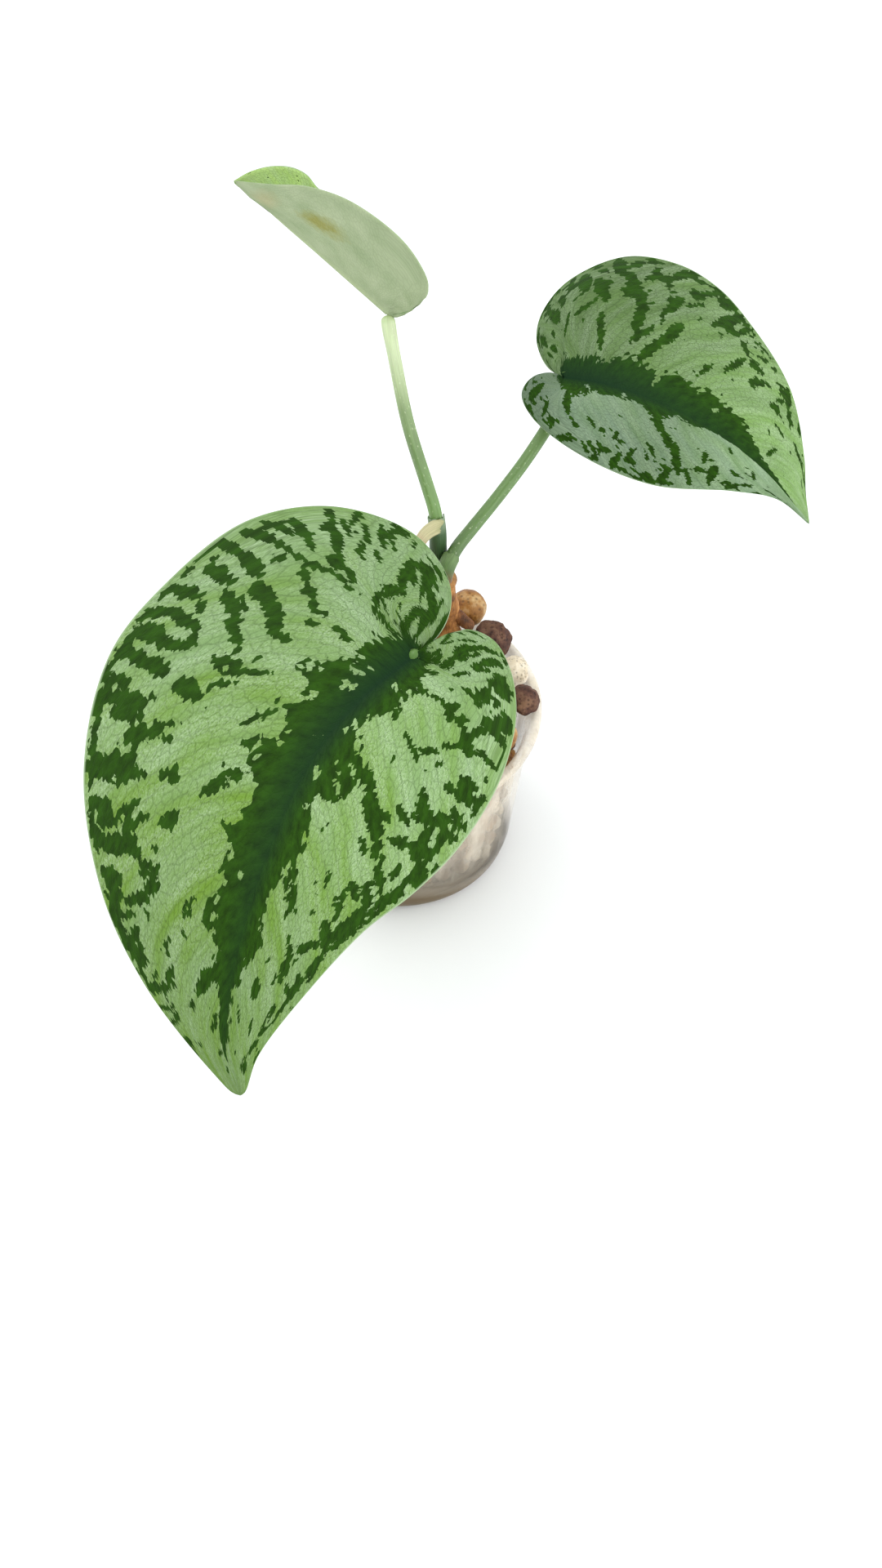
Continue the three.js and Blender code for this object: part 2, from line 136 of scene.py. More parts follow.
cup_height = 35.4
rim_radius = 26.5
base_radius = 21.0
wall = 1.0
cup_floor = 1.4
rim_bead = 1.0
foot_corner = 2.6
drain_radius = 1.6
drain_circle = 11.0
drain_count = 6


def dress(piece, replaced):
    """Hangs a piece on the part's root and hides the CAD nodes that it replaces."""
    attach(piece, "root")
    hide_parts(*replaced)
    return piece


def mesh_piece(name, vertices, faces, materials, replaced, face_materials=None):
    """A smooth mesh object from vertices in millimetres, which rides on the part and replaces CAD nodes."""
    mesh = bpy.data.meshes.new(name)
    mesh.from_pydata([tuple(v) for v in np.asarray(vertices, float) * MM], [], faces)
    mesh.validate()
    for material in materials:
        mesh.materials.append(material)
    if face_materials is not None:
        mesh.polygons.foreach_set("material_index", face_materials)
    mesh.shade_smooth()
    piece = bpy.data.objects.new(name, mesh)
    scene.collection.objects.link(piece)
    return dress(piece, replaced)


def finish_modifiers(piece):
    """Turns what a piece's modifiers make into its own mesh."""
    made = bpy.data.meshes.new_from_object(piece.evaluated_get(bpy.context.evaluated_depsgraph_get()))
    piece.modifiers.clear()
    piece.data = made


def lathe(profile, segments):
    """Vertices and faces of a profile of (radius, height) turned about Z. It starts and ends on the axis."""
    vertices = [(0, 0, profile[0][1])]
    for radius, height in profile[1:-1]:
        for k in range(segments):
            turn = 2 * math.pi * k / segments
            vertices.append((radius * math.cos(turn), radius * math.sin(turn), height))
    vertices.append((0, 0, profile[-1][1]))
    rings = len(profile) - 2
    last = len(vertices) - 1
    faces = []
    for k in range(segments):
        after = (k + 1) % segments
        faces.append((0, 1 + after, 1 + k))
        for ring in range(rings - 1):
            a = 1 + ring * segments
            faces.append((a + k, a + after, a + segments + after, a + segments + k))
        a = 1 + (rings - 1) * segments
        faces.append((a + k, a + after, last))
    return vertices, faces


def wall_radius(height):
    """Outer radius of the cup's wall."""
    top = rim_radius - rim_bead - wall / 2
    return base_radius + (top - base_radius) * height / cup_height


def arc(centre, radius, first, last, count):
    """Points (radius, height) of an arc, by its angles in degrees."""
    turns = [math.radians(first + (last - first) * i / (count - 1)) for i in range(count)]
    return [(centre[0] + radius * math.cos(a), centre[1] + radius * math.sin(a)) for a in turns]


bead_centre = (rim_radius - rim_bead, cup_height - rim_bead)
cup_profile = [(0, 0.6), (base_radius - 6, 0.6), (base_radius - 4.6, 0.05), (base_radius - foot_corner, 0)]
cup_profile += arc((base_radius - foot_corner, foot_corner), foot_corner, -70, -5, 6)
cup_profile += [(wall_radius(h), h) for h in (4, 10, 16, 22, 28, 31.5)]
cup_profile += arc(bead_centre, rim_bead, -115, 160, 16)
cup_profile += [(wall_radius(h) - wall, h) for h in (32.8, 30, 24, 18, 12, 5)]
cup_profile += arc((wall_radius(cup_floor) - wall - 2, cup_floor + 2), 2, -10, -80, 5)
cup_profile += [(drain_circle, cup_floor), (0, cup_floor)]


def node(tree, kind, inputs=(), **settings):
    """Adds a node with its settings and inputs."""
    new = tree.nodes.new(kind)
    for name, value in settings.items():
        setattr(new, name, value)
    feed(tree, new, inputs)
    return new


# The kinds of node that most materials use. SPAN takes a value, the range it is in and the range to
# move it to, which is 0 to 1 where it isn't given. MIX takes its amount at 0 and its colours at 6 and 7.
NOISE = "ShaderNodeTexNoise"
SPAN = "ShaderNodeMapRange"
MATH = "ShaderNodeMath"
MIX = "ShaderNodeMix"

clear_plastic, tree, shader = new_material("clear_polypropylene")
# Clear, with a faint milky haze: a film of dried lime, thicker towards the rim, in runs a few
# millimetres wide. Round the foot it is brown and more opaque, reaching higher on the left.
# Object places in materials are metres.
place = node(tree, "ShaderNodeTexCoord").outputs["Object"]
axes = node(tree, "ShaderNodeSeparateXYZ", [place]).outputs
runs = node(tree, "ShaderNodeMapping", {"Vector": place, "Scale": (1, 1, 0.25)})
lime = node(tree, NOISE, {"Vector": runs, "Scale": 180, "Detail": 4, "Roughness": 0.6})
near_rim = node(tree, SPAN, [axes["Z"], 0.002, 0.022, -0.28, 0.1])
film = node(tree, MATH, [lime, near_rim], operation="ADD")
haze = node(tree, SPAN, [film, 0.35, 0.75, 0.15, 0.72])
# Brown and more opaque towards the foot, reaching highest on the left.
tilted_height = node(tree, MATH, [axes["X"], 0.2, axes["Z"]], operation="MULTIPLY_ADD")
low_and_left = node(tree, SPAN, [tilted_height, 0.0045, 0.0095, 0.5, -0.45])
swirl = node(tree, NOISE, {"Vector": place, "Scale": 150, "Detail": 3, "Roughness": 0.6})
dark_foot = node(tree, MATH, [low_and_left, swirl], operation="ADD", use_clamp=True)
foot_browned = node(tree, MIX, {0: dark_foot, 6: linear("#EADFCB"), 7: linear("#69542F")}, data_type="RGBA")
cloudy = node(tree, MATH, [dark_foot, 0.8], operation="MULTIPLY")
opacity = node(tree, MATH, [haze, cloudy], operation="MAXIMUM")
feed(tree, shader, {"Alpha": opacity, "Base Color": foot_browned, "Roughness": 0.16, "IOR": 1.49})

cup_vertices, cup_faces = lathe(cup_profile, 128)
cup = mesh_piece("clear_cup", cup_vertices, cup_faces, [clear_plastic], ["pot"])
cutter_mesh = bpy.data.meshes.new("drain_cutter")
cutter = bmesh.new()
for i in range(drain_count):
    turn = 2 * math.pi * i / drain_count
    size = {"segments": 24, "radius1": drain_radius * MM, "radius2": drain_radius * MM, "depth": 6 * MM}
    hole = bmesh.ops.create_cone(cutter, cap_ends=True, **size)
    middle = Vector((drain_circle * math.cos(turn), drain_circle * math.sin(turn), cup_floor / 2)) * MM
    bmesh.ops.translate(cutter, verts=hole["verts"], vec=middle)
cutter.to_mesh(cutter_mesh)
cutter.free()
drain_cutter = bpy.data.objects.new("drain_cutter", cutter_mesh)
scene.collection.objects.link(drain_cutter)
drains = cup.modifiers.new("drains", "BOOLEAN")
drains.object = drain_cutter
drains.operation = "DIFFERENCE"
finish_modifiers(cup)
cup.data.shade_smooth()
bpy.data.objects.remove(drain_cutter)


# ---------------------------------------------------------------------------------------------------
# The mix: coarse grains of pumice, fired clay and lava, 2 to 4 mm across, poured into the cup. Only
# the outer layer of grains is made, round a dark core that is painted shade, because the wall hides the rest.

grain_radius = 2.0
grain_spacing = 2.7
bed_shoulder = 31.0
bed_crown = 5.0
bed_inner = wall_radius(bed_shoulder) - wall
VORONOI = "ShaderNodeTexVoronoi"


def bed_height(radius):
    """Height of the mix's domed top."""
    return bed_shoulder + bed_crown * (1 - (radius / bed_inner) ** 4)


def shade_along(ramp, shades):
    """Gives a colour ramp its stops, as (place, hex colour)."""
    stops = ramp.color_ramp.elements
    stops.remove(stops[1])
    stops[0].position, stops[0].color = shades[0][0], linear(shades[0][1])
    for place, hex_colour in shades[1:]:
        stops.new(place).color = linear(hex_colour)
    return ramp


def stone_material(name, shades, grain_mm, pit_mm, pit_depth, roughness):
    """A dull mineral: three shades in patches of grain_mm, pitted at pit_mm. Near the cup's floor it is
    darker and browner."""
    material, tree, shader = new_material(name)
    place = node(tree, "ShaderNodeTexCoord").outputs["Object"]
    patches = node(tree, NOISE, {"Vector": place, "Scale": 1000 / grain_mm, "Detail": 5, "Roughness": 0.65})
    ramp = shade_along(node(tree, "ShaderNodeValToRGB", [patches]), list(zip((0.33, 0.5, 0.68), shades)))
    pits = node(tree, VORONOI, {"Vector": place, "Scale": 1000 / pit_mm})
    dark_pit = node(tree, SPAN, [pits, 0.08, 0.42, 0.45, 1])
    shaded = node(tree, MIX, {0: 1.0, 6: ramp, 7: dark_pit}, data_type="RGBA", blend_type="MULTIPLY")
    height = node(tree, "ShaderNodeSeparateXYZ", [place]).outputs["Z"]
    # Darker and browner towards the cup's floor.
    low_darkening = node(tree, SPAN, [height, 0.006, 0.02, 0.75, 0.0])
    darkened_low = node(tree, MIX, {0: low_darkening, 6: shaded, 7: linear("#4A3B26")}, data_type="RGBA")
    dust = node(tree, NOISE, {"Vector": place, "Scale": 4000, "Detail": 3})
    surface = node(tree, MATH, [dust, 0.35, dark_pit], operation="MULTIPLY_ADD")
    bump = node(tree, "ShaderNodeBump", {"Height": surface, "Distance": pit_depth * MM, "Strength": 0.9})
    feed(tree, shader, {"Base Color": darkened_low, "Normal": bump})
    feed(tree, shader, {"Roughness": roughness, "Specular IOR Level": 0.3})
    return material


# Expanded clay: a rust-brown fired skin, paler where it is rubbed, with fine open pores.
clay_skin = stone_material("fired_clay", ("#6E3F16", "#9E6E34", "#C8A878"), 3.0, 0.9, 0.1, 0.5)
# Lava: dark red-brown glassy rock, full of gas bubbles.
lava_rock = stone_material("lava_rock", ("#3A2420", "#5B3D30", "#82614A"), 2.2, 0.8, 0.22, 0.78)
# Pumice: cream froth of volcanic glass, finely pitted.
pumice_rock = stone_material("pumice", ("#BFAF93", "#DFD2BA", "#F1E9DA"), 2.6, 0.6, 0.14, 0.88)
# The dark core is painted shade: it stands for the shade deep between the grains.
core_shade_paint, tree, shader = new_material("shaded_core")
feed(tree, shader, {"Base Color": linear("#4A3627"), "Roughness": 0.95})

core_profile = [(0, cup_floor + 0.6 + grain_radius)]
core_profile += [(wall_radius(h) - wall - grain_radius - 0.25, h) for h in (3.6, 8, 13, 18, 23, 27)]
core_radii = [part * bed_inner for part in (0.88, 0.7, 0.5, 0.25)]
core_profile += [(radius, bed_height(radius) - grain_radius) for radius in core_radii]
core_profile += [(0, bed_height(0) - grain_radius)]
core_vertices, core_faces = lathe(core_profile, 48)
bed_skins = [core_shade_paint, clay_skin, lava_rock, pumice_rock]
bed = mesh_piece("mineral_mix", core_vertices, core_faces, bed_skins, ["mix_bed"])


def lump(radius, detail, seed, roughness, kind):
    """A bmesh ball in metres whose surface is pushed in and out by noise: a stone."""
    stone = bmesh.new()
    bmesh.ops.create_icosphere(stone, subdivisions=detail, radius=radius * MM)
    offset = Vector((seed * 7.31, seed * 3.17, seed * 5.53))
    for vertex in stone.verts:
        direction = vertex.co.normalized()
        push = noise.fractal(direction * 1.3 + offset, 1.0, 2.0, 3) * roughness
        if kind != "clay":  # broken stone has flat faces, fired clay doesn't
            facets = noise.voronoi(direction * 1.6 + offset)[0]
            push -= 0.32 * roughness * (facets[1] - facets[0]) - 0.1 * roughness
        vertex.co = direction * radius * MM * (1 + push)
    return stone


def stone_object(name, stone, material):
    """An object from a bmesh stone."""
    data = bpy.data.meshes.new(name)
    stone.to_mesh(data)
    stone.free()
    data.materials.append(material)
    data.shade_smooth()
    made = bpy.data.objects.new(name, data)
    scene.collection.objects.link(made)
    return made


grain_kinds = {"clay": (clay_skin, 0.16), "lava": (lava_rock, 0.34), "pumice": (pumice_rock, 0.3)}
grain_objects = {}
for number, (kind, (material, roughness)) in enumerate(grain_kinds.items()):
    grain = lump(grain_radius, 2, number + 1, roughness, kind)
    grain_objects[kind] = stone_object(f"grain_{kind}", grain, material)

group = bpy.data.node_groups.new("pour_grains", "GeometryNodeTree")
group.interface.new_socket("Geometry", in_out="INPUT", socket_type="NodeSocketGeometry")
spacing_socket = group.interface.new_socket("Spacing", in_out="INPUT", socket_type="NodeSocketFloat")
group.interface.new_socket("Geometry", in_out="OUTPUT", socket_type="NodeSocketGeometry")
entry = node(group, "NodeGroupInput").outputs
scatter = {"Mesh": entry["Geometry"], "Distance Min": entry["Spacing"], "Density Max": 500000.0, "Seed": 4}
points = node(group, "GeometryNodeDistributePointsOnFaces", scatter, distribute_method="POISSON")
pick = node(group, "FunctionNodeRandomValue", {"Seed": 11}, data_type="FLOAT")
any_turn = {"Max": (6.28, 6.28, 6.28), "Seed": 12}
turns = node(group, "FunctionNodeRandomValue", any_turn, data_type="FLOAT_VECTOR")
sizes = node(group, "FunctionNodeRandomValue", {"Min": 0.62, "Max": 1.0, "Seed": 13}, data_type="FLOAT")
joined = node(group, "GeometryNodeJoinGeometry", [entry["Geometry"]])
kind_shares = {"clay": (0.0, 0.36), "lava": (0.36, 0.58), "pumice": (0.58, 1.0)}  # of the grains
for kind, (low, high) in kind_shares.items():
    above = node(group, "FunctionNodeCompare", [pick, low], operation="GREATER_EQUAL")
    below = node(group, "FunctionNodeCompare", [pick, high], operation="LESS_THAN")
    chosen = node(group, "FunctionNodeBooleanMath", [above, below], operation="AND")
    grain = node(group, "GeometryNodeObjectInfo", [grain_objects[kind]]).outputs["Geometry"]
    laid = {"Points": points, "Selection": chosen, "Instance": grain, "Rotation": turns, "Scale": sizes}
    real = node(group, "GeometryNodeRealizeInstances", [node(group, "GeometryNodeInstanceOnPoints", laid)])
    painted = {"Geometry": real, "Material": grain_kinds[kind][0]}
    feed(group, joined, [node(group, "GeometryNodeSetMaterial", painted)])
node(group, "NodeGroupOutput", [joined])

pour = bed.modifiers.new("grains", "NODES")
pour.node_group = group
pour[spacing_socket.identifier] = grain_spacing * MM
finish_modifiers(bed)
for grain in grain_objects.values():
    bpy.data.objects.remove(grain)

# The larger stones that lie on top, 5.4 to 7.2 mm across: round fired clay, and broken lava and pumice.
top_stones = {
    "clay_ball": ("fired_clay", clay_skin, "clay", 0.055),
    "lava_stone": ("lava", lava_rock, "lava", 0.2),
    "pumice_stone": ("pumice", pumice_rock, "pumice", 0.17),
}
for number, name in enumerate(sorted(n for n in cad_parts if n[:-3] in top_stones)):
    slot, material, kind, roughness = top_stones[name[:-3]]
    low, high = (np.array(corner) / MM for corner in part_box(name))
    stone = lump(float((high - low).mean() / 2), 4, number + 20, roughness, kind)
    stone.transform(Matrix.Translation(Vector((low + high) / 2 * MM)))
    dress(stone_object(f"{name}_stone", stone, material), [name])


# ---------------------------------------------------------------------------------------------------
# The roots and the stem: a short woody stem of old internodes, ringed where leaves have dropped, with
# a dark stub of aerial root. The roots go down through the grains from its foot.

stem_radius = 2.15
stem_route = [(9.2, 14.6, 27.4), (9.3, 14.4, 40.4), (8.65, 14.0, 54.9)]
stem_nodes = (0.42, 0.68, 0.92)  # along the stem, where the leaf nodes swell
root_radius = 1.0
root_crown = (9.2, 14.6, 25.7)
root_ends = [(-14, 8, 5.5), (-8, -13, 4.5), (13, -7, 6.5), (4, 6, 4.5), (-2, 17, 11)]
aerial_root_route = [(10.4, 14.5, 43.5), (11.2, 14.3, 43.2), (12.4, 13.8, 42.4), (13.9, 13.2, 41.0)]


def smooth_curve(points, shares):
    """A centripetal Catmull-Rom curve through points, sampled at shares (0 to 1) of its length."""
    points = [np.array(p, float) for p in points]
    ends = [2 * points[0] - points[1]] + points + [2 * points[-1] - points[-2]]
    samples = []
    for p0, p1, p2, p3 in zip(ends, ends[1:], ends[2:], ends[3:]):
        d0, d1, d2 = (np.linalg.norm(b - a) ** 0.5 for a, b in ((p0, p1), (p1, p2), (p2, p3)))
        m1 = ((p1 - p0) / d0 - (p2 - p0) / (d0 + d1) + (p2 - p1) / d1) * d1
        m2 = ((p2 - p1) / d1 - (p3 - p1) / (d1 + d2) + (p3 - p2) / d2) * d1
        u = np.linspace(0, 1, 120, endpoint=False)[:, None]
        samples.append(
            p1 + m1 * u + (-3 * p1 + 3 * p2 - 2 * m1 - m2) * u**2 + (2 * p1 - 2 * p2 + m1 + m2) * u**3
        )
    line = np.vstack(samples + [points[-1]])
    length = np.append(0, np.cumsum(np.linalg.norm(np.diff(line, axis=0), axis=1)))
    return np.stack([np.interp(shares, length / length[-1], line[:, axis]) for axis in range(3)], 1)


def carried_frames(line, upward):
    """Unit tangents of a line, and two unit normals carried along it without twist, the first near upward."""
    tangents = np.gradient(line, axis=0)
    tangents /= np.linalg.norm(tangents, axis=1)[:, None]
    normal = np.array(upward, float)
    normals = []
    for tangent in tangents:
        normal = normal - tangent * (normal @ tangent)
        normal /= np.linalg.norm(normal)
        normals.append(normal)
    normals = np.array(normals)
    return tangents, normals, np.cross(tangents, normals)


def tube(points, radius_at, steps, sides, crowding=1.0):
    """A closed tube along a curve. radius_at(share along, angle round) is in millimetres. With crowding
    above 1 its rings lie closer towards its end. Returns its vertices, its faces and for each face the
    (along, around) of its corners."""
    shares = 1 - (1 - np.linspace(0, 1, steps + 1)) ** crowding
    line = smooth_curve(points, shares)
    tangents, normals, sideways = carried_frames(line, (0, 0, 1))
    turns = 2 * np.pi * np.arange(sides) / sides
    rings = []
    for share, centre, normal, side in zip(shares, line, normals, sideways):
        radius = radius_at(share, turns)[:, None]
        rings.append(centre + radius * (np.cos(turns)[:, None] * normal + np.sin(turns)[:, None] * side))
    tips = [line[0] - tangents[0] * 0.25, line[-1] + tangents[-1] * 0.1]
    vertices = np.vstack(rings + tips)
    faces = []
    corners = []
    for i in range(steps):
        for k in range(sides):
            a, b = i * sides + k, i * sides + (k + 1) % sides
            faces.append((a, b, b + sides, a + sides))
            corners.append([(shares[i], k / sides), (shares[i], (k + 1) / sides)])
            corners[-1] += [(shares[i + 1], (k + 1) / sides), (shares[i + 1], k / sides)]
    first, last = len(vertices) - 2, len(vertices) - 1
    for k in range(sides):
        a, b = k, (k + 1) % sides
        faces.append((b, a, first))
        corners.append([(0, (k + 1) / sides), (0, k / sides), (0, k / sides)])
        a, b = a + steps * sides, b + steps * sides
        faces.append((a, b, last))
        corners.append([(1, k / sides), (1, (k + 1) / sides), (1, k / sides)])
    return vertices, faces, corners


def add_map(mesh, name, corners):
    """Writes one UV map from a list of corners for each face."""
    flat = np.array([value for face in corners for corner in face for value in corner], np.float32)
    mesh.uv_layers.new(name=name).uv.foreach_set("vector", flat)


def ringed(t, turns):
    """The stem's radius: tapering, swollen at its nodes, with a leaf scar under each."""
    swelling = sum(np.exp(-(((t - at) / 0.045) ** 2)) for at in stem_nodes)
    scar = sum(np.exp(-(((t - at + 0.05) / 0.012) ** 2)) for at in stem_nodes)
    folds = 0.07 * np.cos(5 * turns + 9 * t) + 0.05 * np.cos(9 * turns - 14 * t)
    end = np.sqrt(max(0.02, 1 - max(0, (t - 0.95) / 0.05) ** 2))
    return (stem_radius * (1.06 - 0.22 * t) + 0.4 * swelling - 0.16 * scar + folds) * end


def corky_skin(name, shades):
    """A thin corky skin of old growth, rust brown, that wrinkles lengthwise as it dries: dull, with
    wrinkles about 0.4 mm apart."""
    material, tree, shader = new_material(name)
    way = node(tree, "ShaderNodeUVMap", uv_map="way")
    place = node(tree, "ShaderNodeTexCoord").outputs["Object"]
    stretched = node(tree, "ShaderNodeMapping", {"Vector": place, "Scale": (1, 1, 0.3)})
    wrinkles = node(tree, NOISE, {"Vector": stretched, "Scale": 2400, "Detail": 4, "Roughness": 0.6})
    blotches = node(tree, NOISE, {"Vector": place, "Scale": 420, "Detail": 3})
    mixed = node(tree, MATH, [wrinkles, 0.5, blotches], operation="MULTIPLY_ADD")
    ramp = shade_along(node(tree, "ShaderNodeValToRGB", [mixed]), list(zip((0.5, 0.72, 0.95), shades)))
    along = node(tree, "ShaderNodeSeparateXYZ", [way])
    young = node(tree, SPAN, [along, 0.9, 1.0, 0.0, 0.2])
    greened = node(tree, MIX, {0: young, 6: ramp, 7: linear("#6F7A3C")}, data_type="RGBA")
    bump = node(tree, "ShaderNodeBump", {"Height": wrinkles, "Distance": 0.35 * MM, "Strength": 0.8})
    feed(tree, shader, {"Base Color": greened, "Normal": bump, "Roughness": 0.72})
    return material


bark = corky_skin("corky_stem_skin", ("#5A3516", "#94602C", "#C48A4C"))
# The aerial root's skin is darker than the stem's: painted shade, for the shade that falls
# under the clay ball.
shaded_root_bark = corky_skin("painted_shade_root_skin", ("#42250F", "#74451C", "#9A6430"))

vertices, faces, corners = tube(stem_route, ringed, 140, 40)
stem = mesh_piece("woody_stem", vertices, faces, [bark], ["stem"])
add_map(stem.data, "way", corners)


def stub(t, turns):
    """The aerial root's radius: blunt and a little knobbly."""
    end = np.sqrt(max(0.02, 1 - max(0, (t - 0.8) / 0.2) ** 2))
    return (1.3 - 0.3 * t + 0.07 * np.cos(3 * turns + 11 * t)) * end


vertices, faces, corners = tube(aerial_root_route, stub, 40, 20)
aerial_root = mesh_piece("aerial_root_stub", vertices, faces, [shaded_root_bark], ["aerial_root"])
add_map(aerial_root.data, "way", corners)

root_skin, tree, shader = new_material("root_skin")
# Live roots: a felt of fine hairs makes them dull and pale tan, with grit stuck in it.
place = node(tree, "ShaderNodeTexCoord").outputs["Object"]
grit = node(tree, NOISE, {"Vector": place, "Scale": 900, "Detail": 4})
felt = shade_along(node(tree, "ShaderNodeValToRGB", [grit]), [(0, "#8E754F"), (1, "#D9C8A4")])
bump = node(tree, "ShaderNodeBump", {"Height": grit, "Distance": 0.2 * MM})
feed(tree, shader, {"Base Color": felt, "Normal": bump, "Roughness": 0.85})

root_vertices = []
root_faces = []
for number, end in enumerate(root_ends):
    middle = [(a + b) / 2 + lift for a, b, lift in zip(root_crown, end, (2, 2, 4))]
    vertices, faces, _ = tube(
        [root_crown, middle, end],
        lambda t, turns: root_radius * (1.25 - 0.9 * t) * (1 + 0.08 * np.sin(31 * t + 2 * turns + number)),
        60,
        12,
    )
    root_faces += [tuple(v + len(root_vertices) for v in face) for face in faces]
    root_vertices += list(vertices)
mesh_piece("feeding_roots", root_vertices, root_faces, [root_skin], ["roots"])


# ---------------------------------------------------------------------------------------------------
# The petioles: firm leaf stalks, 2.3 to 2.7 mm thick, with a shallow channel along the upper side, a
# swollen foot at the stem and a paler swollen knee under the blade.

petiole_radius = 1.15
petiole_foot = 1.35
petiole_routes = {
    "front": [
        (8.6, 13.6, 50.3), (8.0, 12.7, 50.8), (6.3, 6, 57.9), (5, -6, 68.6), (4.1, -18, 76.4), (4, -27, 79.4),
        (4.1, -31, 81.1), (3.9, -32.7, 81.8),
    ],
    "right": [
        (8.6, 13.3, 53.2), (8.5, 12.7, 54.3), (8.7, 12.3, 56), (9.25, 12.9, 57.7), (11, 15.9, 59.1),
        (13.5, 19.3, 60.2), (18.5, 25.4, 62.8), (24.4, 32.2, 67.2), (28.7, 37, 72.6), (29.8, 38.8, 77.8),
        (29.9, 39.0, 78.4),
    ],
    "left": [
        (8.5, 14.5, 53), (8.3, 14.9, 54), (7.8, 15.6, 55.8), (7.6, 16.3, 58.6), (7.5, 16.7, 62.4),
        (6.95, 17.8, 66.4), (5.75, 19.9, 69.9), (2.4, 25, 79.8), (0.4, 30, 88.3), (-0.9, 33.9, 94.6),
        (-1.0, 34.6, 95.8),
    ],
}
petiole_knees = {"front": 0.0, "right": 0.28, "left": 0.12}  # swelling under the blade
petiole_shades = {  # share along the petiole, and its colour there
    "front": [(0.0, "#54703C"), (0.5, "#6F9150"), (0.9, "#5E8238"), (1.0, "#4C7428")],
    "right": [(0.0, "#6A4E28"), (0.05, "#505E34"), (0.12, "#4E6C34"), (0.4, "#5E7E42"), (1.0, "#67864A")],
    "left": [
        (0.3, "#6F9150"), (0.5, "#6C8752"), (0.66, "#7F9664"), (0.77, "#A9BA8C"), (0.86, "#BCCBA0"),
        (0.97, "#C2D0A4"), (1.0, "#A4B882"),
    ],
}


def stalk_radius(t, knee=0.0):
    """A petiole's radius without its channel: wide at its foot, and swollen by knee under the blade."""
    foot = (petiole_foot - petiole_radius) * np.exp(-t / 0.15)
    return petiole_radius + foot + knee * np.exp(-(((t - 0.96) / 0.05) ** 2))


def stalk(t, turns, knee):
    """A petiole's radius, with the channel on its upper side and a round end."""
    off_top = np.minimum(turns, 2 * np.pi - turns)
    channel = 0.2 * np.exp(-((off_top / 0.42) ** 2)) * (1 - np.exp(-(((t - 1) / 0.06) ** 2)))
    end = math.sqrt(max(0.01, 1 - max(0, (t - 0.978) / 0.022) ** 2))
    return (stalk_radius(t, knee) - channel) * end


def fibred_skin(name, shades, stretch, detail, contrast, depth):
    """A plant skin shaded along "way" from foot to tip, with lengthwise fibres. contrast is how dark and how
    light they are, and depth how many millimetres deep and how strong. Returns the material, its tree, its
    shader, its colour and way."""
    material, tree, shader = new_material(name)
    way = node(tree, "ShaderNodeUVMap", uv_map="way")
    along = node(tree, "ShaderNodeSeparateXYZ", [way])
    ramp = shade_along(node(tree, "ShaderNodeValToRGB", [along]), shades)
    lengthwise = node(tree, "ShaderNodeMapping", {"Vector": way, "Scale": stretch})
    fibres = node(tree, NOISE, {"Vector": lengthwise, "Scale": 1.0, **detail})
    shade = node(tree, SPAN, [fibres, 0.3, 0.7, *contrast])
    colour = node(tree, MIX, {0: 1.0, 6: ramp, 7: shade}, data_type="RGBA", blend_type="MULTIPLY")
    bump = node(tree, "ShaderNodeBump", {"Height": fibres, "Distance": depth[0] * MM, "Strength": depth[1]})
    feed(tree, shader, {"Normal": bump})
    return material, tree, shader, colour, way


for side, route in petiole_routes.items():
    # Smooth waxy stalk: satin, green, paler towards the blade, with fine lengthwise fibres 0.3 mm
    # apart and a few pale flecks.
    stalk_skin, tree, shader, colour, way = fibred_skin(
        f"petiole_skin_{side}", petiole_shades[side], (8, 24, 1), {"Detail": 3}, (0.82, 1.12), (0.08, 0.6)
    )
    flecking = node(tree, "ShaderNodeMapping", {"Vector": way, "Scale": (60, 14, 1)})
    pale = node(tree, SPAN, [node(tree, NOISE, {"Vector": flecking, "Scale": 1.0}), 0.62, 0.72, 0, 0.35])
    flecked = node(tree, MIX, {0: pale, 6: colour, 7: linear("#D8E4BC")}, data_type="RGBA")
    feed(tree, shader, {"Base Color": flecked, "Roughness": 0.42, "Subsurface Weight": 0.15})
    feed(tree, shader, {"Subsurface Radius": (0.4, 1.0, 0.2), "Subsurface Scale": 0.001})
    knee = petiole_knees[side]
    vertices, faces, corners = tube(route, lambda t, turns: stalk(t, turns, knee), 120, 28, 1.6)
    petiole = mesh_piece(f"leaf_stalk_{side}", vertices, faces, [stalk_skin], [f"petiole_{side}"])
    add_map(petiole.data, "way", corners)


# ---------------------------------------------------------------------------------------------------
# The sheaths and the dry bract: each petiole's foot is wrapped by a thin leathery sheath, open along
# its inner side, and the papery skin of an older one rises beside the left petiole and lies over
# its sheath.

sheath_lengths = {"front": 9.0, "right": 5.0, "left": 11.0}
sheath_start = 0.035  # along the petiole
sheath_gap = 0.22  # between the petiole and the middle of its sheath
sheath_half = 0.12  # half its thickness
sheath_opening = 50  # degrees left open round the petiole
sheath_facing = {"front": (0, 0, 1), "right": (0, 0, 1), "left": (0.5, 1, 0)}  # the way that it opens
sheath_steps = 45
bract_route = [
    (6.2, 13.1, 52.2), (5.1, 12.7, 55.9), (4.3, 12.7, 59.9), (4.3, 13.2, 62.8), (5.5, 13.8, 64.6),
    (7.0, 14.3, 65.5), (8.2, 14.6, 65.9),
]
bract_curl = 2.4  # radius of its curl across
bract_spread = 34  # degrees to each side of its middle
bract_half = 0.07  # half its thickness


def sheet_normals(vertices, faces):
    """Unit vertex normals of a sheet of triangles and quads."""
    normals = np.zeros_like(vertices)
    for face in faces:
        a, b, c, d = (vertices[i] for i in (face[0], face[1], face[2], face[-1]))
        normals[list(face)] += np.cross(c - a, d - b) if len(face) == 4 else np.cross(b - a, c - a)
    return normals / np.maximum(np.linalg.norm(normals, axis=1), 1e-9)[:, None]


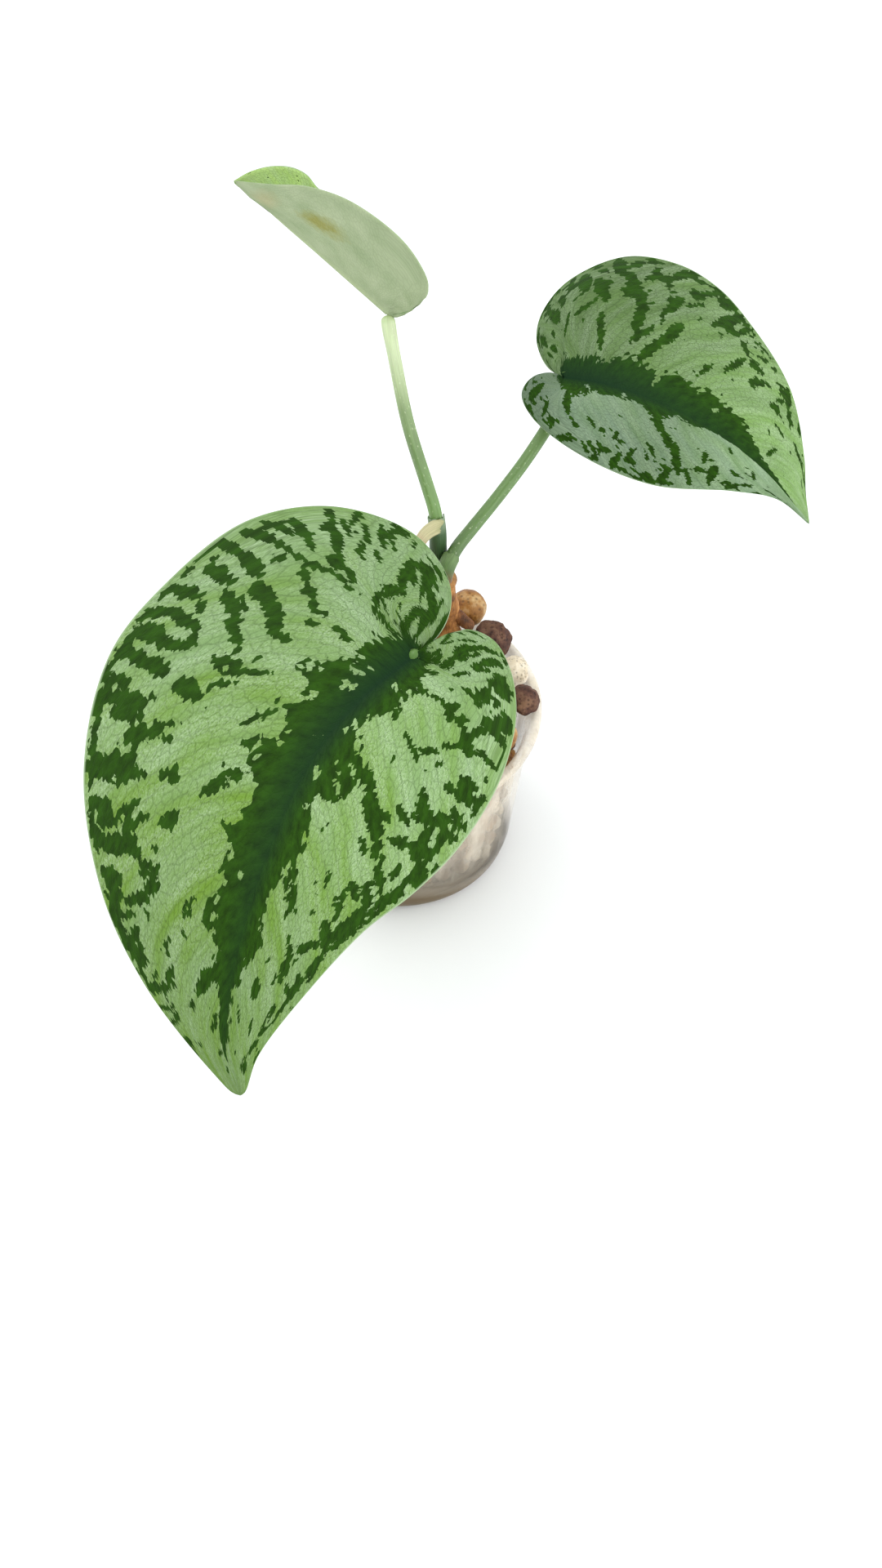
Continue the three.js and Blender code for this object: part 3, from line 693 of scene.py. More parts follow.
def thicken(vertices, faces, corners, above, below):
    """Makes a sheet a closed skin, above and below it by so many millimetres at each vertex.
    Returns vertices, faces, corners and for each face 0 if it is above, 1 below or 2 on the rim."""
    normals = sheet_normals(vertices, faces)
    count = len(vertices)
    skin = np.vstack([vertices + normals * above[:, None], vertices - normals * below[:, None]])
    skin_faces = list(faces) + [tuple(i + count for i in reversed(face)) for face in faces]
    skin_corners = list(corners) + [list(reversed(corner)) for corner in corners]
    sides = [0] * len(faces) + [1] * len(faces)
    open_edges = {}
    for face, corner in zip(faces, corners):
        for k in range(len(face)):
            n = (k + 1) % len(face)
            edge = (face[k], face[n])
            if edge[::-1] in open_edges:
                del open_edges[edge[::-1]]
            else:
                open_edges[edge] = (corner[k], corner[n])
    for (a, b), (at_a, at_b) in open_edges.items():
        skin_faces.append((b, a, a + count, b + count))
        skin_corners.append([at_b, at_a, at_a, at_b])
        sides.append(2)
    return skin, skin_faces, skin_corners, sides


def rolled_sheet(name, rows, half, material, replaced):
    """A piece from a grid of points, given as rows along it, thickened by half to each side."""
    steps, wide = len(rows) - 1, len(rows[0])
    faces = []
    corners = []
    for i in range(steps):
        for j in range(wide - 1):
            a = i * wide + j
            faces.append((a, a + 1, a + wide + 1, a + wide))
            u0, u1, v0, v1 = i / steps, (i + 1) / steps, j / (wide - 1), (j + 1) / (wide - 1)
            corners.append([(u0, v0), (u0, v1), (u1, v1), (u1, v0)])
    vertices = np.array(rows, float).reshape(-1, 3)
    halves = np.full(len(vertices), half)
    skin, faces, corners, _ = thicken(vertices, faces, corners, halves, halves)
    piece = mesh_piece(name, skin, faces, [material], [replaced])
    add_map(piece.data, "way", corners)


def membrane(name, shades, fibre_count, roughness):
    """A thin plant skin with coarse lengthwise fibres."""
    detail = {"Detail": 4, "Roughness": 0.6}
    stretch = (3, fibre_count, 1)
    material, tree, shader, colour, _ = fibred_skin(name, shades, stretch, detail, (0.7, 1.15), (0.15, 0.8))
    feed(tree, shader, {"Base Color": colour, "Roughness": roughness})
    return material


# A living sheath is leathery: dark green round the youngest petiole, and as green as the petiole round
# the others, with a thin grey membrane at its tip.
sheath_shades = {
    "front": [(0.0, "#4C6A38"), (0.7, "#587642"), (1.0, "#74885A")],
    "right": [(0.0, "#7A542A"), (0.3, "#6A5A30"), (0.6, "#56743C"), (1.0, "#66824A")],
    "left": [(0.0, "#4A6A3A"), (0.3, "#33522A"), (0.72, "#3A5A30"), (0.84, "#6E8462"), (1.0, "#7F9472")],
}
sheath_skins = {side: membrane(f"leathery_sheath_{side}", s, 30, 0.5) for side, s in sheath_shades.items()}
# A dead bract is dry, papery and matt, cream going tan where it has torn.
bract_shades = [(0.3, "#A98555"), (0.62, "#CBAF8E"), (0.78, "#CDC49A"), (0.92, "#C8C295"), (1.0, "#B0AE80")]
bract_skin = membrane("papery_bract", bract_shades, 22, 0.8)

for side, length in sheath_lengths.items():
    route = petiole_routes[side]
    whole = smooth_curve(route, np.linspace(0, 1, 400))
    reach = length / np.linalg.norm(np.diff(whole, axis=0), axis=1).sum()
    shares = np.linspace(sheath_start, sheath_start + reach, sheath_steps + 1)
    line = smooth_curve(route, shares)
    tangents, normals, sideways = carried_frames(line, sheath_facing[side])
    rows = []
    along = np.arange(sheath_steps + 1) / sheath_steps
    for u, share, centre, tangent, normal, across in zip(along, shares, line, tangents, normals, sideways):
        open_half = math.radians(sheath_opening / 2) * (0.45 + 0.75 * u)
        turns = np.linspace(open_half, 2 * math.pi - open_half, 33)
        from_edge = np.minimum(turns - open_half, 2 * math.pi - open_half - turns)
        flare = 0.12 * u**2 * np.exp(-from_edge / 0.35)
        radius = (stalk_radius(share) + sheath_gap + flare)[:, None]
        ragged = 0.25 * u**3 * np.sin(5 * turns) * np.cos(2.3 * turns + 1)
        ring = centre + radius * (np.cos(turns)[:, None] * normal + np.sin(turns)[:, None] * across)
        rows.append(ring + tangent * ragged[:, None])
    rolled_sheet(f"stalk_sheath_{side}", rows, sheath_half, sheath_skins[side], f"sheath_{side}")

shares = np.linspace(0, 1, 61)
line = smooth_curve(bract_route, shares)
tangents, normals, sideways = carried_frames(line, (-0.6, -0.8, 0))
rows = []
for share, centre, tangent, normal, across in zip(shares, line, tangents, normals, sideways):
    spread = math.radians(bract_spread) * math.sqrt(max(0.45, 1 - share**40)) * (0.72 + 0.34 * share**3)
    turns = np.linspace(-spread, spread, 25)
    torn = 0.5 * share**4 * np.cos(7 * turns + 1) + 0.12 * np.sin(9 * share + 3 * turns)
    ring = centre + bract_curl * ((np.cos(turns) - 1)[:, None] * normal + np.sin(turns)[:, None] * across)
    rows.append(ring + tangent * torn[:, None])
rolled_sheet("dry_bract_skin", rows, bract_half, bract_skin, "dry_bract")


# ---------------------------------------------------------------------------------------------------
# The blades: thick leathery heart-shaped leaves, half a millimetre thick, each grown whole. Every side
# vein runs from the midrib out to the margin, so a blade is a fan of such veins. The silver on its
# face is air under the skin, in the cells between the finest veins, so its edges are jagged along them.
# Each blade has a frame at the point where the petiole joins it: along the midrib, to the left of it
# and up. The outlines run from the notch to the tip.

blade_half = 0.2  # half of the blade's thickness
vein_spacing = 0.095  # of the side veins, along a blade
sheet_along = 45.0  # the length of a middling side vein
sheet_across = 100.0  # from the first side vein to the last
cell_along = 1.15  # size of the cells between the finest veins
cell_across = 0.8
side_line_spacing = 2.4  # of the finer veins that run beside the side veins
rim_band = 1.3  # how far in from the margin the rows of vertices lie closer
rim_steps = (1.3, 0.85, 0.55, 0.35, 0.2, 0.1, 0.04, 0)  # in from the margin
lobe_turn = 0.0025  # radians at least from one row of a lobe to the next
VECTOR = "ShaderNodeVectorMath"
CURVE = "ShaderNodeFloatCurve"
cell_edges = {"voronoi_dimensions": "2D", "feature": "DISTANCE_TO_EDGE"}

# Heading, droop and roll turn a blade, in degrees. Rows and columns count the vertices of a half. Dome is
# how high it arches, bow how far its side veins bend, and fan the share of its rows that spread from the
# joint. Keel is a share of the full keel under the midrib, and rib_shade how far out from the midrib the
# green is deep. Lime is how lime the silver is, and mottled how many dark spots there are near the margin.
# A place on a half is given by how far out it is, in hundredths of the way from midrib to margin, and how
# far on, in hundredths of the way from notch to tip. The dark band along the midrib is a list of (on, out).
# How light the silver is along a half, (on, lightness), in hundredths of 1.25, is painted light:
# painted sheen where the front blade is lighter in its middle, and painted shade where the right blade
# darkens towards its notch.
# A streak, dark, or a fleck, silver, runs from one place to another: (out, on, out, on, half width).
leaves = {
    "front": {
        "joint": (4.0, -32.0, 81.7), "heading": -113, "droop": 24, "roll": 0,
        "rows": 230, "columns": 66, "dome": 3.0, "bow": 0.16, "fan": 0.34,
        "midrib": [(8.5, -4.6, 0.8), (17.5, -7.7, 1.5), (27, -9.3, 1.5), (48.5, -9.3, -0.5), (66, -6.7, -6)],
        "tip": (72.4, -2.3, -9), "keel": 1.0, "rib_shade": 0.13, "blemishes": [],
        "left": {
            "silver": ("#80A067", "#6E9438"), "lime": 0.45, "mottled": 0.2,
            "painted_light_along": [(0, 68), (17, 71), (40, 86), (60, 84), (82, 71), (100, 70)],
            "margin": [
                (-3.6, 3.4, -0.4), (-6.8, 6.4, -1), (-6.8, 10.5, -2.5), (-3.5, 14.2, -4), (1, 16.7, -5),
                (6, 18, -6), (15, 18.2, -7), (25.5, 15.7, -8), (34.5, 11.6, -8), (42, 6.8, -8),
                (53.5, 2, -8), (66, -1.9, -8.5), (71.7, -1.8, -8.9),
            ],
            "band": [
                (0, 90), (8, 55), (10, 40), (11, 25), (13, 18), (16, 14.5), (18, 16), (20, 20), (28, 20),
                (30, 18), (32, 16), (34.5, 13), (37, 19), (40, 20), (43, 22), (44.5, 13), (47, 12),
                (50, 20), (52, 34), (54, 33), (56.5, 29), (58.2, 14), (60, 16), (64, 24), (66.8, 25),
                (68.5, 18), (71, 22), (72.6, 14), (75, 21), (76.2, 15), (79, 28), (81, 25), (83.5, 14),
                (85, 14), (85.7, 2), (86.8, 6), (87.8, 5), (88.6, 9), (89.3, 5), (90.5, 10), (92.2, 10),
                (93.2, 2), (94.5, 0), (100, 0),
            ],
            "streaks": [
                (35, 14, 60, 10.5, 0.8), (60, 10.3, 95, 6.5, 0.7), (27, 19, 20, 30, 1.7),
                (26, 30, 40, 22, 1.7), (38, 22.5, 56, 19, 1.4), (50, 18, 75, 16.2, 1.0),
                (72, 16, 92, 17, 0.7), (56, 23.2, 70, 21, 0.9), (68, 20.7, 84, 18.8, 1.1),
                (80, 18.7, 93, 19, 0.7), (37, 30.3, 45, 27.5, 0.8), (44, 27.5, 54, 25.5, 0.5),
                (47, 32, 62, 31.2, 0.9), (58, 29, 66, 30, 0.9), (60, 31, 72, 27, 1.2),
                (68, 28, 76, 24, 0.9), (70, 24.5, 95, 23.5, 1.0), (78, 22, 92, 21.5, 0.5),
                (70, 34, 85, 31.8, 1.3), (80, 31, 96, 29, 1.4), (85, 28.3, 94, 28, 0.6),
                (9, 37.4, 30, 37.6, 0.45), (28, 37.7, 46, 37, 0.35), (43, 36.5, 52, 38, 0.8),
                (50, 37.4, 60, 37, 0.6), (58, 37.5, 73, 38.3, 0.8), (64, 39.5, 75, 39.2, 0.8),
                (76, 34, 68, 36.8, 0.8), (70, 37, 66, 39, 0.8), (57, 41.8, 66, 39.7, 0.6),
                (50, 44.5, 58, 43, 0.7), (36, 44.2, 52, 45.7, 0.5), (77, 37.6, 93, 36.6, 0.5),
                (79, 42.3, 90, 41.3, 0.8), (73, 45.2, 86, 44, 0.8), (85, 44, 95, 42, 0.8),
                (64, 48.2, 72, 51, 0.8), (68, 49.7, 80, 50.2, 0.7), (70, 52, 78, 50.6, 0.8),
                (60, 53, 72, 53.2, 0.5), (80, 53, 89, 54, 1.1), (80, 50, 84, 52, 0.8),
                (30, 52, 45, 53.7, 0.9), (40, 54, 63, 57.2, 1.2), (55, 57, 70, 59.5, 1.1),
                (55, 54.8, 63, 55, 0.6), (55, 59.4, 64, 60.6, 0.6), (68, 56.7, 79, 55.8, 0.7),
                (91, 46, 93, 70, 1.0), (85, 47, 90, 52, 0.9), (83, 58, 85, 60, 0.6),
                (72, 59.3, 79, 61.5, 0.6), (22, 67.2, 34, 69.3, 0.7), (25, 68.7, 31, 70.5, 0.6),
                (32, 69.3, 43, 72.2, 0.6), (36, 71.7, 44, 73, 0.8), (42, 71.7, 49, 73.5, 0.4),
                (53, 66, 57, 67.5, 0.6), (70, 65, 77, 65, 0.5), (70, 66.4, 75, 69, 0.8),
                (66, 77, 80, 74.7, 0.9), (74, 72, 88, 74, 1.3), (86, 62, 88, 76, 1.0),
                (95, 60, 96.5, 70, 0.6), (95, 70, 90, 74, 0.6), (88, 76, 88, 88, 0.8),
                (77, 64, 88, 65, 0.9), (80, 80, 87, 80.7, 0.9), (76, 82.4, 86, 82.8, 0.7),
                (75, 85.6, 81, 86, 0.5), (75, 86, 77, 90, 0.6), (76, 90.2, 84, 89, 0.5),
                (80, 91, 72, 93, 0.5), (72, 93.5, 55, 95, 0.35), (51, 76.2, 60, 77.7, 0.6),
                (56, 77, 66, 79.5, 0.8), (60, 80, 70, 80.7, 1.0), (37, 84.3, 47, 85.2, 1.4),
                (22, 87.7, 33, 89.7, 0.45), (54, 88.7, 60, 90.8, 0.8), (30, 94, 36, 94, 0.25),
                (35, 14.5, 50, 14.4, 0.5), (56, 13.8, 75, 14.8, 0.45), (46, 17, 56, 16.6, 0.5),
                (44, 22.8, 54, 21.2, 0.7), (56, 20, 72, 17.8, 0.5), (58, 23.6, 77, 21.6, 0.6),
                (78, 25.5, 94, 24.7, 0.7), (78, 22.7, 93, 22.5, 0.6), (58, 32.5, 66, 31.5, 0.7),
                (66, 31, 76, 27.2, 0.6), (80, 33.5, 94, 32, 0.9), (93, 31, 95.5, 37, 0.6),
                (14, 35.2, 24, 34.4, 0.4), (19, 38.5, 28, 38.1, 0.4), (19, 40, 24.5, 40.6, 0.3),
                (20, 42.2, 26.5, 43.4, 0.4), (45, 36.3, 50, 36, 0.6), (55, 36.2, 61, 36.3, 0.4),
                (74, 38.7, 78, 38, 0.35), (49, 46, 52, 46, 0.5), (78, 43.2, 87, 42.8, 0.8),
                (93, 41, 95, 44, 0.6), (94, 44, 95, 50, 0.6), (86, 46, 92, 48, 0.8),
                (80, 48.5, 85, 49.2, 0.9), (60, 52.3, 64, 53, 0.5), (80, 54.7, 90, 55.6, 0.9),
                (70, 55.8, 79, 55.1, 0.6), (42, 55.3, 56, 57.5, 0.5), (18, 57.7, 30, 57.2, 0.6),
                (66, 60.3, 70, 60, 0.35), (75, 61, 85, 62, 0.9), (82, 60, 86, 59, 0.6),
                (77, 62, 80, 64, 0.6), (89.5, 65, 90.5, 73, 0.7), (96, 63, 97.5, 66, 0.5),
                (70, 65.6, 82, 66.2, 0.6), (68, 68, 72, 69, 0.4), (84, 70, 86, 75, 0.7),
                (85, 76, 87, 79, 0.7), (91, 75, 92, 81, 0.5), (86, 80, 87, 87, 0.7),
                (80, 90.2, 87, 88.2, 0.6), (75, 93.2, 83, 91.5, 0.6), (60, 96, 74, 95.3, 0.9),
                (50, 95.8, 62, 95.5, 0.6), (19, 76.5, 24, 77, 0.5), (24, 78, 28.5, 79, 0.6),
                (14, 85, 17, 84.5, 0.6), (6, 87, 11, 87.5, 0.5), (10, 89.8, 16, 89.8, 0.4),
                (10, 92.2, 16, 92.5, 0.4), (52, 68.5, 55, 69.7, 0.4), (62, 81.8, 70, 82, 0.6),
                (33, 71.8, 37, 72.2, 0.5), (38, 73.8, 43, 73.7, 0.4), (25, 70, 30, 71, 0.5),
                (15, 8, 40, 5, 2.4), (35, 4, 70, 3, 1.9), (60, 2, 105, 1.5, 1.5), (38, 9, 60, 7, 0.6),
                (20, 22, 29, 17.5, 1.5), (42, 20, 62, 16.5, 1.6),
            ],
            "flecks": [
                (7.5, 39, 13, 40, 0.3), (6.5, 46.3, 11, 47.7, 0.3), (4, 47.5, 7, 48.7, 0.3),
                (5.5, 54.5, 10, 56, 0.4), (22, 52, 30, 53.7, 0.3), (21, 55, 28, 56.3, 0.4),
                (12, 59.7, 16, 61, 0.4), (14, 52.8, 15.5, 53, 0.25), (18, 53.5, 20, 54, 0.25),
                (58, 58.5, 64, 59.7, 0.3), (13, 81, 16, 81.5, 0.3), (24, 68, 26, 68.5, 0.3),
            ],
        },
        "right": {
            "silver": ("#7F9F65", "#6C922E"), "lime": 0.36, "mottled": 0.2,
            "painted_light_along": [(0, 66), (17, 70), (40, 75), (60, 81), (82, 72), (100, 70)],
            "margin": [
                (-4.8, 2.4, -0.2), (-10.2, 2.1, -1), (-15.4, -1.2, -2), (-20.8, -9.9, -3.5),
                (-21.2, -24.7, -4.5), (-14.7, -37.1, -5), (-1, -46, -6), (13, -50.5, -7), (32, -47.2, -8),
                (50, -36, -8), (62, -22.6, -8), (71.2, -6.4, -8.3), (72.4, -3.6, -8.8),
            ],
            "band": [
                (0, 25), (8, 16.5), (10, 12), (14, 10.5), (20, 10), (25, 13), (29, 11), (34.5, 9),
                (37, 15), (40.5, 12), (43, 17), (46.3, 26), (47, 14), (49, 16), (51, 21), (53, 13.5),
                (54.5, 12.5), (56.2, 21), (60, 20), (61.2, 14), (64, 15), (66, 19), (68, 25), (69.2, 16),
                (72, 20), (73, 16), (77, 25), (79.5, 25), (80.5, 14), (83, 18), (85, 15), (87, 10),
                (89, 9), (91, 11), (94, 8), (95.6, 3), (96.5, 0), (100, 0),
            ],
            "streaks": [
                (10, 31, 17, 24, 1.4), (14, 25, 24, 19, 1.4), (22, 20, 36, 14, 1.6), (33, 14, 52, 10, 1.5),
                (52, 10, 60, 13, 1.6), (10, 20, 14, 15.5, 0.8), (13, 15.5, 32, 11.5, 1.1),
                (9, 34.7, 26, 34.2, 0.45), (24, 34, 29, 32, 0.8), (27, 33.5, 34, 27, 0.9),
                (31, 28, 40, 22, 1.5), (37, 21.5, 56, 19, 1.2), (52, 18.5, 70, 16.5, 1.2),
                (68, 15.5, 82, 12, 1.4), (64, 14, 76, 14, 0.9), (25, 24.5, 29, 23.5, 0.6),
                (36, 22, 38, 20, 0.7), (39, 33.5, 49, 31.4, 0.6), (50, 33.5, 58, 31, 1.1),
                (56, 31, 68, 28.6, 0.8), (66, 28.6, 82, 27.2, 0.8), (80, 27, 98, 25, 0.5),
                (62, 33.5, 74, 31.5, 0.7), (72, 32, 90, 30, 0.8), (55, 24, 64, 23.2, 0.5),
                (58, 27, 68, 24.8, 0.7), (68, 24, 85, 22.5, 0.5), (80, 25, 98, 21.5, 0.5),
                (70, 26.2, 87, 25, 0.4), (70, 19.5, 79, 19.5, 0.5), (80, 20, 95, 17.5, 0.5),
                (84, 15.8, 91, 15.7, 0.3), (48, 34.4, 34, 34.3, 0.3), (48, 34.5, 62, 35.3, 0.5),
                (60, 35.3, 82, 34.5, 0.5), (60, 35.6, 50, 37.5, 0.6), (52, 37.2, 38, 39.4, 0.7),
                (40, 39.6, 34, 39, 0.3), (39, 40.8, 33, 40.8, 0.5), (28, 39.6, 20, 39.5, 0.4),
                (67, 40.5, 50, 42, 1.1), (53, 41.5, 42, 44.5, 1.1), (45, 44.7, 37, 44.3, 0.6),
                (74, 42.7, 62, 44.5, 0.8), (64, 44, 56, 46.5, 1.0), (59, 46, 51, 47.6, 0.7),
                (68, 42.4, 60, 43.6, 0.35), (90, 40.3, 74, 41.3, 0.9), (97, 37, 84, 37.6, 0.7),
                (84, 37.6, 70, 39, 0.8), (95, 35, 80, 34.5, 0.8), (96, 43.7, 80, 44, 0.8),
                (82, 44, 74, 45.6, 0.7), (97, 47, 83, 46.5, 0.8), (84, 46.5, 71, 47.8, 0.9),
                (92, 49, 82, 49.4, 1.1), (82, 50.3, 66, 49.8, 0.6), (97, 51.5, 82, 52.2, 0.8),
                (82, 52.4, 72, 53.2, 1.0), (65, 54.1, 54, 54.8, 1.2), (55, 50.5, 42, 50.3, 1.0),
                (42, 50.2, 30, 48.4, 0.35), (51, 53.2, 42, 51.8, 0.6), (52, 54.5, 47, 52.5, 0.5),
                (95, 54.5, 85, 55, 0.7), (93, 56.5, 76, 57, 1.1), (80, 57.5, 72, 56, 0.7),
                (90, 58, 78, 58.6, 0.8), (80, 60.5, 70, 60, 1.1), (72, 60, 63, 58.8, 0.8),
                (64, 58.7, 57, 58.3, 0.35), (64, 60.2, 59, 59.8, 0.35), (31, 55.5, 21, 51.7, 0.45),
                (27, 57.3, 20, 55.5, 0.5), (39, 64.8, 23, 60.5, 1.0), (37, 86.8, 14, 83.7, 1.3),
                (60, 64.3, 53, 62.6, 0.6), (56, 63.7, 51, 64, 0.6), (57, 68.8, 48, 67.7, 0.8),
                (53, 69.3, 49, 68.6, 0.5), (42, 78, 34, 76, 0.4), (42, 78.6, 37, 77.8, 0.4),
                (97, 63, 85, 64, 1.2), (88, 62.5, 75, 63.6, 1.0), (78, 64, 67, 64, 0.7),
                (97, 67, 86, 67.4, 0.8), (93, 67.5, 85, 68, 0.9), (82, 68.3, 69, 67, 0.5),
                (73, 69, 64, 68.2, 0.5), (98, 70, 88, 70.5, 0.6), (92, 71.5, 72, 71, 1.2),
                (78, 70.6, 70, 72.5, 1.0), (70, 73.5, 63, 73.5, 0.6), (96, 74, 84, 74.6, 0.8),
                (83, 77.2, 66, 76.5, 0.7), (68, 76.5, 58, 73.5, 0.9), (64, 76.6, 58, 75.3, 0.4),
                (93, 74, 93, 83, 1.0), (91, 78.6, 79, 78.5, 0.5), (93, 81.5, 80, 80.2, 0.8),
                (95, 82.5, 84, 83.2, 1.1), (86, 85.3, 78, 85, 0.4), (97, 86.4, 70, 86.7, 0.7),
                (72, 86.3, 59, 84.3, 0.7), (98, 88.8, 82, 89, 0.4), (82, 89, 75, 88.3, 0.3),
                (97, 90.7, 80, 90.3, 0.3), (99, 93.2, 86, 92.8, 0.8), (69, 93.3, 60, 93, 0.25),
                (66, 82.5, 56, 81.2, 0.3), (52, 88.7, 43, 88.3, 0.45), (27, 91.1, 13, 90.5, 0.5),
                (20, 90, 12, 89.5, 0.45), (24, 94.3, 10, 94, 0.3), (28, 12.8, 45, 10.2, 0.9),
                (40, 15, 60, 14.5, 0.5), (62, 13, 80, 11.5, 0.6), (50, 16.8, 60, 16.3, 0.5),
                (90, 20, 70, 21.5, 0.6), (95, 16.5, 88, 18, 0.5), (60, 27, 54, 27, 0.4),
                (95, 32.5, 78, 32.5, 0.6), (89, 30, 90, 34, 0.5), (77, 8.3, 73, 8.3, 0.4),
                (65, 8.3, 40, 8.5, 0.4), (22, 26.8, 15, 26.2, 0.7), (30, 29, 20, 32.2, 0.35),
                (97, 37.5, 96, 40, 0.6), (73, 39.5, 67, 39.5, 0.6), (97, 43.7, 95, 45.2, 0.7),
                (97, 48, 93, 47.5, 0.7), (84, 48.8, 80, 50, 0.6), (50, 48, 51, 50, 0.3),
                (95, 49, 96, 54, 0.8), (96, 56, 96.5, 60, 0.9), (78, 58, 74, 58.3, 0.5),
                (76, 61, 74, 63, 0.6), (96, 61, 96.5, 65.5, 0.9), (84, 65, 77, 64.8, 0.6),
                (96, 67, 96, 72, 0.8), (94, 69, 80, 68.8, 0.7), (76, 70, 70, 69, 0.5),
                (70, 74.2, 65, 74.5, 0.5), (90, 75.5, 84, 75, 0.6), (96.5, 76, 96.5, 83, 0.8),
                (87, 81.5, 82, 82, 0.5), (94, 83.5, 95, 87, 0.9), (67, 86.6, 61, 85.8, 0.4),
                (83, 90, 76, 89.5, 0.4), (22, 96.8, 8, 96.2, 0.4), (10, 3, 60, 2.5, 2.5),
                (50, 3.5, 104, 4, 2.3), (12, 15, 30, 11, 1.2), (30, 11, 62, 9.5, 1.3),
                (48, 11.5, 64, 11, 1.6), (60, 13.5, 80, 12.5, 1.5), (36, 8.8, 78, 8.6, 0.5),
                (25, 13.5, 40, 11.8, 1.5), (50, 14.3, 66, 14, 0.8), (50, 17.2, 68, 16.6, 0.8),
            ],
            "flecks": [
                (8.5, 44.3, 5.5, 42.8, 0.5), (12, 41.6, 6.5, 41, 0.3), (8, 39.8, 6, 39.6, 0.3),
                (6, 52.1, 4.5, 51.2, 0.25), (10, 72, 7, 71.2, 0.3), (21, 79.5, 19, 79.3, 0.3),
                (23, 78, 17, 77.3, 0.3), (30, 62.2, 26, 61.6, 0.45), (2.5, 50.5, 2, 50.3, 0.25),
                (51, 51, 48, 50.8, 0.25), (88, 45.2, 83, 44.8, 0.4), (90, 51, 86, 50.7, 0.4),
                (42, 13.2, 48, 12.4, 1.2),
            ],
        },
    },
    "right": {
        "joint": (29.9, 39.0, 78.6), "heading": -37, "droop": 4, "roll": 12,
        "rows": 180, "columns": 52, "dome": 2.4, "bow": 0.14, "fan": 0.32,
        "midrib": [(7, 2.5, 0.5), (16.5, 4, 1), (29.5, 5, 0), (40, 4.5, -3)],
        "tip": (50, 3.4, -9), "keel": 1.0, "rib_shade": 0.22, "blemishes": [],
        "left": {
            "silver": ("#6A8A50", "#7DA25A"), "lime": 0.45, "mottled": 0.5,
            "painted_light_along": [(0, 56), (17, 56), (40, 48), (60, 60), (82, 80), (100, 92)],
            "margin": [
                (-3.8, 0.4, 0), (-8.8, 4.2, -1), (-12.6, 10.9, -2), (-13.3, 21, -2.8), (-7.8, 31.4, -3),
                (1, 35.4, -3.5), (9.5, 35.2, -4), (18.7, 31.6, -4), (33, 23, -4), (43, 12.2, -5),
                (46.5, 7.4, -7),
            ],
            "band": [
                (0, 6), (30, 10), (38, 14), (42, 12), (46, 18), (50, 20), (54, 16), (58, 23), (62, 20),
                (66, 27), (70, 24), (74, 27), (78, 19), (82, 10), (90, 6), (100, 0),
            ],
            "streaks": [
                (20, 49, 40, 52, 1.2), (36, 52, 56, 53.6, 1.3), (38, 46, 60, 45, 1.3),
                (56, 45, 80, 39, 1.4), (55, 38, 75, 34, 1.3), (65, 33, 90, 29, 1.5), (78, 38, 97, 35, 1.1),
                (50, 25, 75, 20, 1.8), (70, 20, 93, 19, 0.9), (24, 22, 40, 16, 1.5), (80, 27, 97, 26, 0.8),
                (84, 46, 99, 48, 1.2), (76, 47, 88, 45, 0.8), (72, 58, 97, 60, 1.1), (80, 62, 98, 63, 0.7),
                (50, 66, 72, 67, 0.8), (60, 71, 75, 73, 1), (74, 77, 86, 78, 0.5), (20, 40, 45, 38, 0.7),
                (30, 30, 50, 30, 0.9), (50, 14, 80, 12, 1.4), (86, 52, 97, 54, 0.7), (35, 62, 46, 63, 0.7),
                (20, 83, 40, 84, 0.5), (30, 46, 44, 49, 1), (60, 50, 75, 50, 0.9), (60, 42, 66, 40, 0.9),
                (45, 33, 55, 36, 0.9), (65, 26, 80, 24, 1.1), (90, 23, 98, 22, 0.6), (40, 22, 50, 20, 1),
                (93, 40, 98, 44, 0.6), (30, 14, 50, 11, 1), (60, 30, 65, 33, 0.7), (50, 50, 60, 49, 0.6),
                (92, 64, 97, 70, 0.5), (85, 68, 90, 70, 0.6), (72, 52, 80, 54, 0.5),
            ],
            "flecks": [
                (10, 53, 14, 54, 0.4), (14, 68, 19, 69, 0.4),
            ],
        },
        "right": {
            "silver": ("#86A082", "#7A9A68"), "lime": 0.3, "mottled": 0.45,
            "painted_light_along": [(0, 44), (17, 44), (40, 62), (60, 57), (82, 86), (100, 92)],
            "margin": [
                (-4.3, -2.4, -0.3), (-4.8, -6, -1.5), (-1, -8.4, -3), (9.8, -9.2, -5), (24, -6.8, -6),
                (36.4, 0, -6), (43.5, 3.2, -6.6),
            ],
            "band": [
                (0, 10), (30, 20), (36, 32), (40, 20), (46, 16), (52, 14), (56, 28), (58.5, 20), (61, 10),
                (65, 15), (70, 6), (80, 3), (100, 0),
            ],
            "streaks": [
                (20, 56.5, 42, 58.5, 1.2), (38, 59, 60, 62, 1.2), (50, 62.5, 85, 64, 1.2),
                (97, 59, 80, 62, 1), (97, 46, 80, 49, 1.1), (85, 50, 70, 53, 0.7), (92, 42, 80, 40, 0.9),
                (95, 30, 85, 36, 1.1), (30, 34, 60, 34, 1.1), (85, 17, 50, 18, 1.8), (90, 72, 68, 73, 1.3),
                (68, 70, 50, 70, 0.8), (70, 47, 60, 48, 0.7), (78, 56, 70, 56, 0.5), (42, 82, 65, 83, 0.6),
                (60, 25, 85, 24, 0.9), (20, 75, 34, 76, 0.5), (90, 52, 96, 56, 0.7), (60, 56, 72, 58, 0.7),
                (80, 66, 95, 67, 0.7), (78, 29, 92, 27, 0.7), (55, 40, 65, 42, 0.7), (90, 78, 97, 80, 0.6),
            ],
            "flecks": [
                (10, 38, 16, 39, 0.4), (8, 47, 12, 48, 0.4),
            ],
        },
    },
    "left": {  # still folded up along its midrib
        "joint": (-1.0, 34.7, 95.9), "heading": 140, "droop": -18, "roll": 0,
        "rows": 150, "columns": 44, "dome": -1.6, "bow": 0.12, "fan": 0.3,
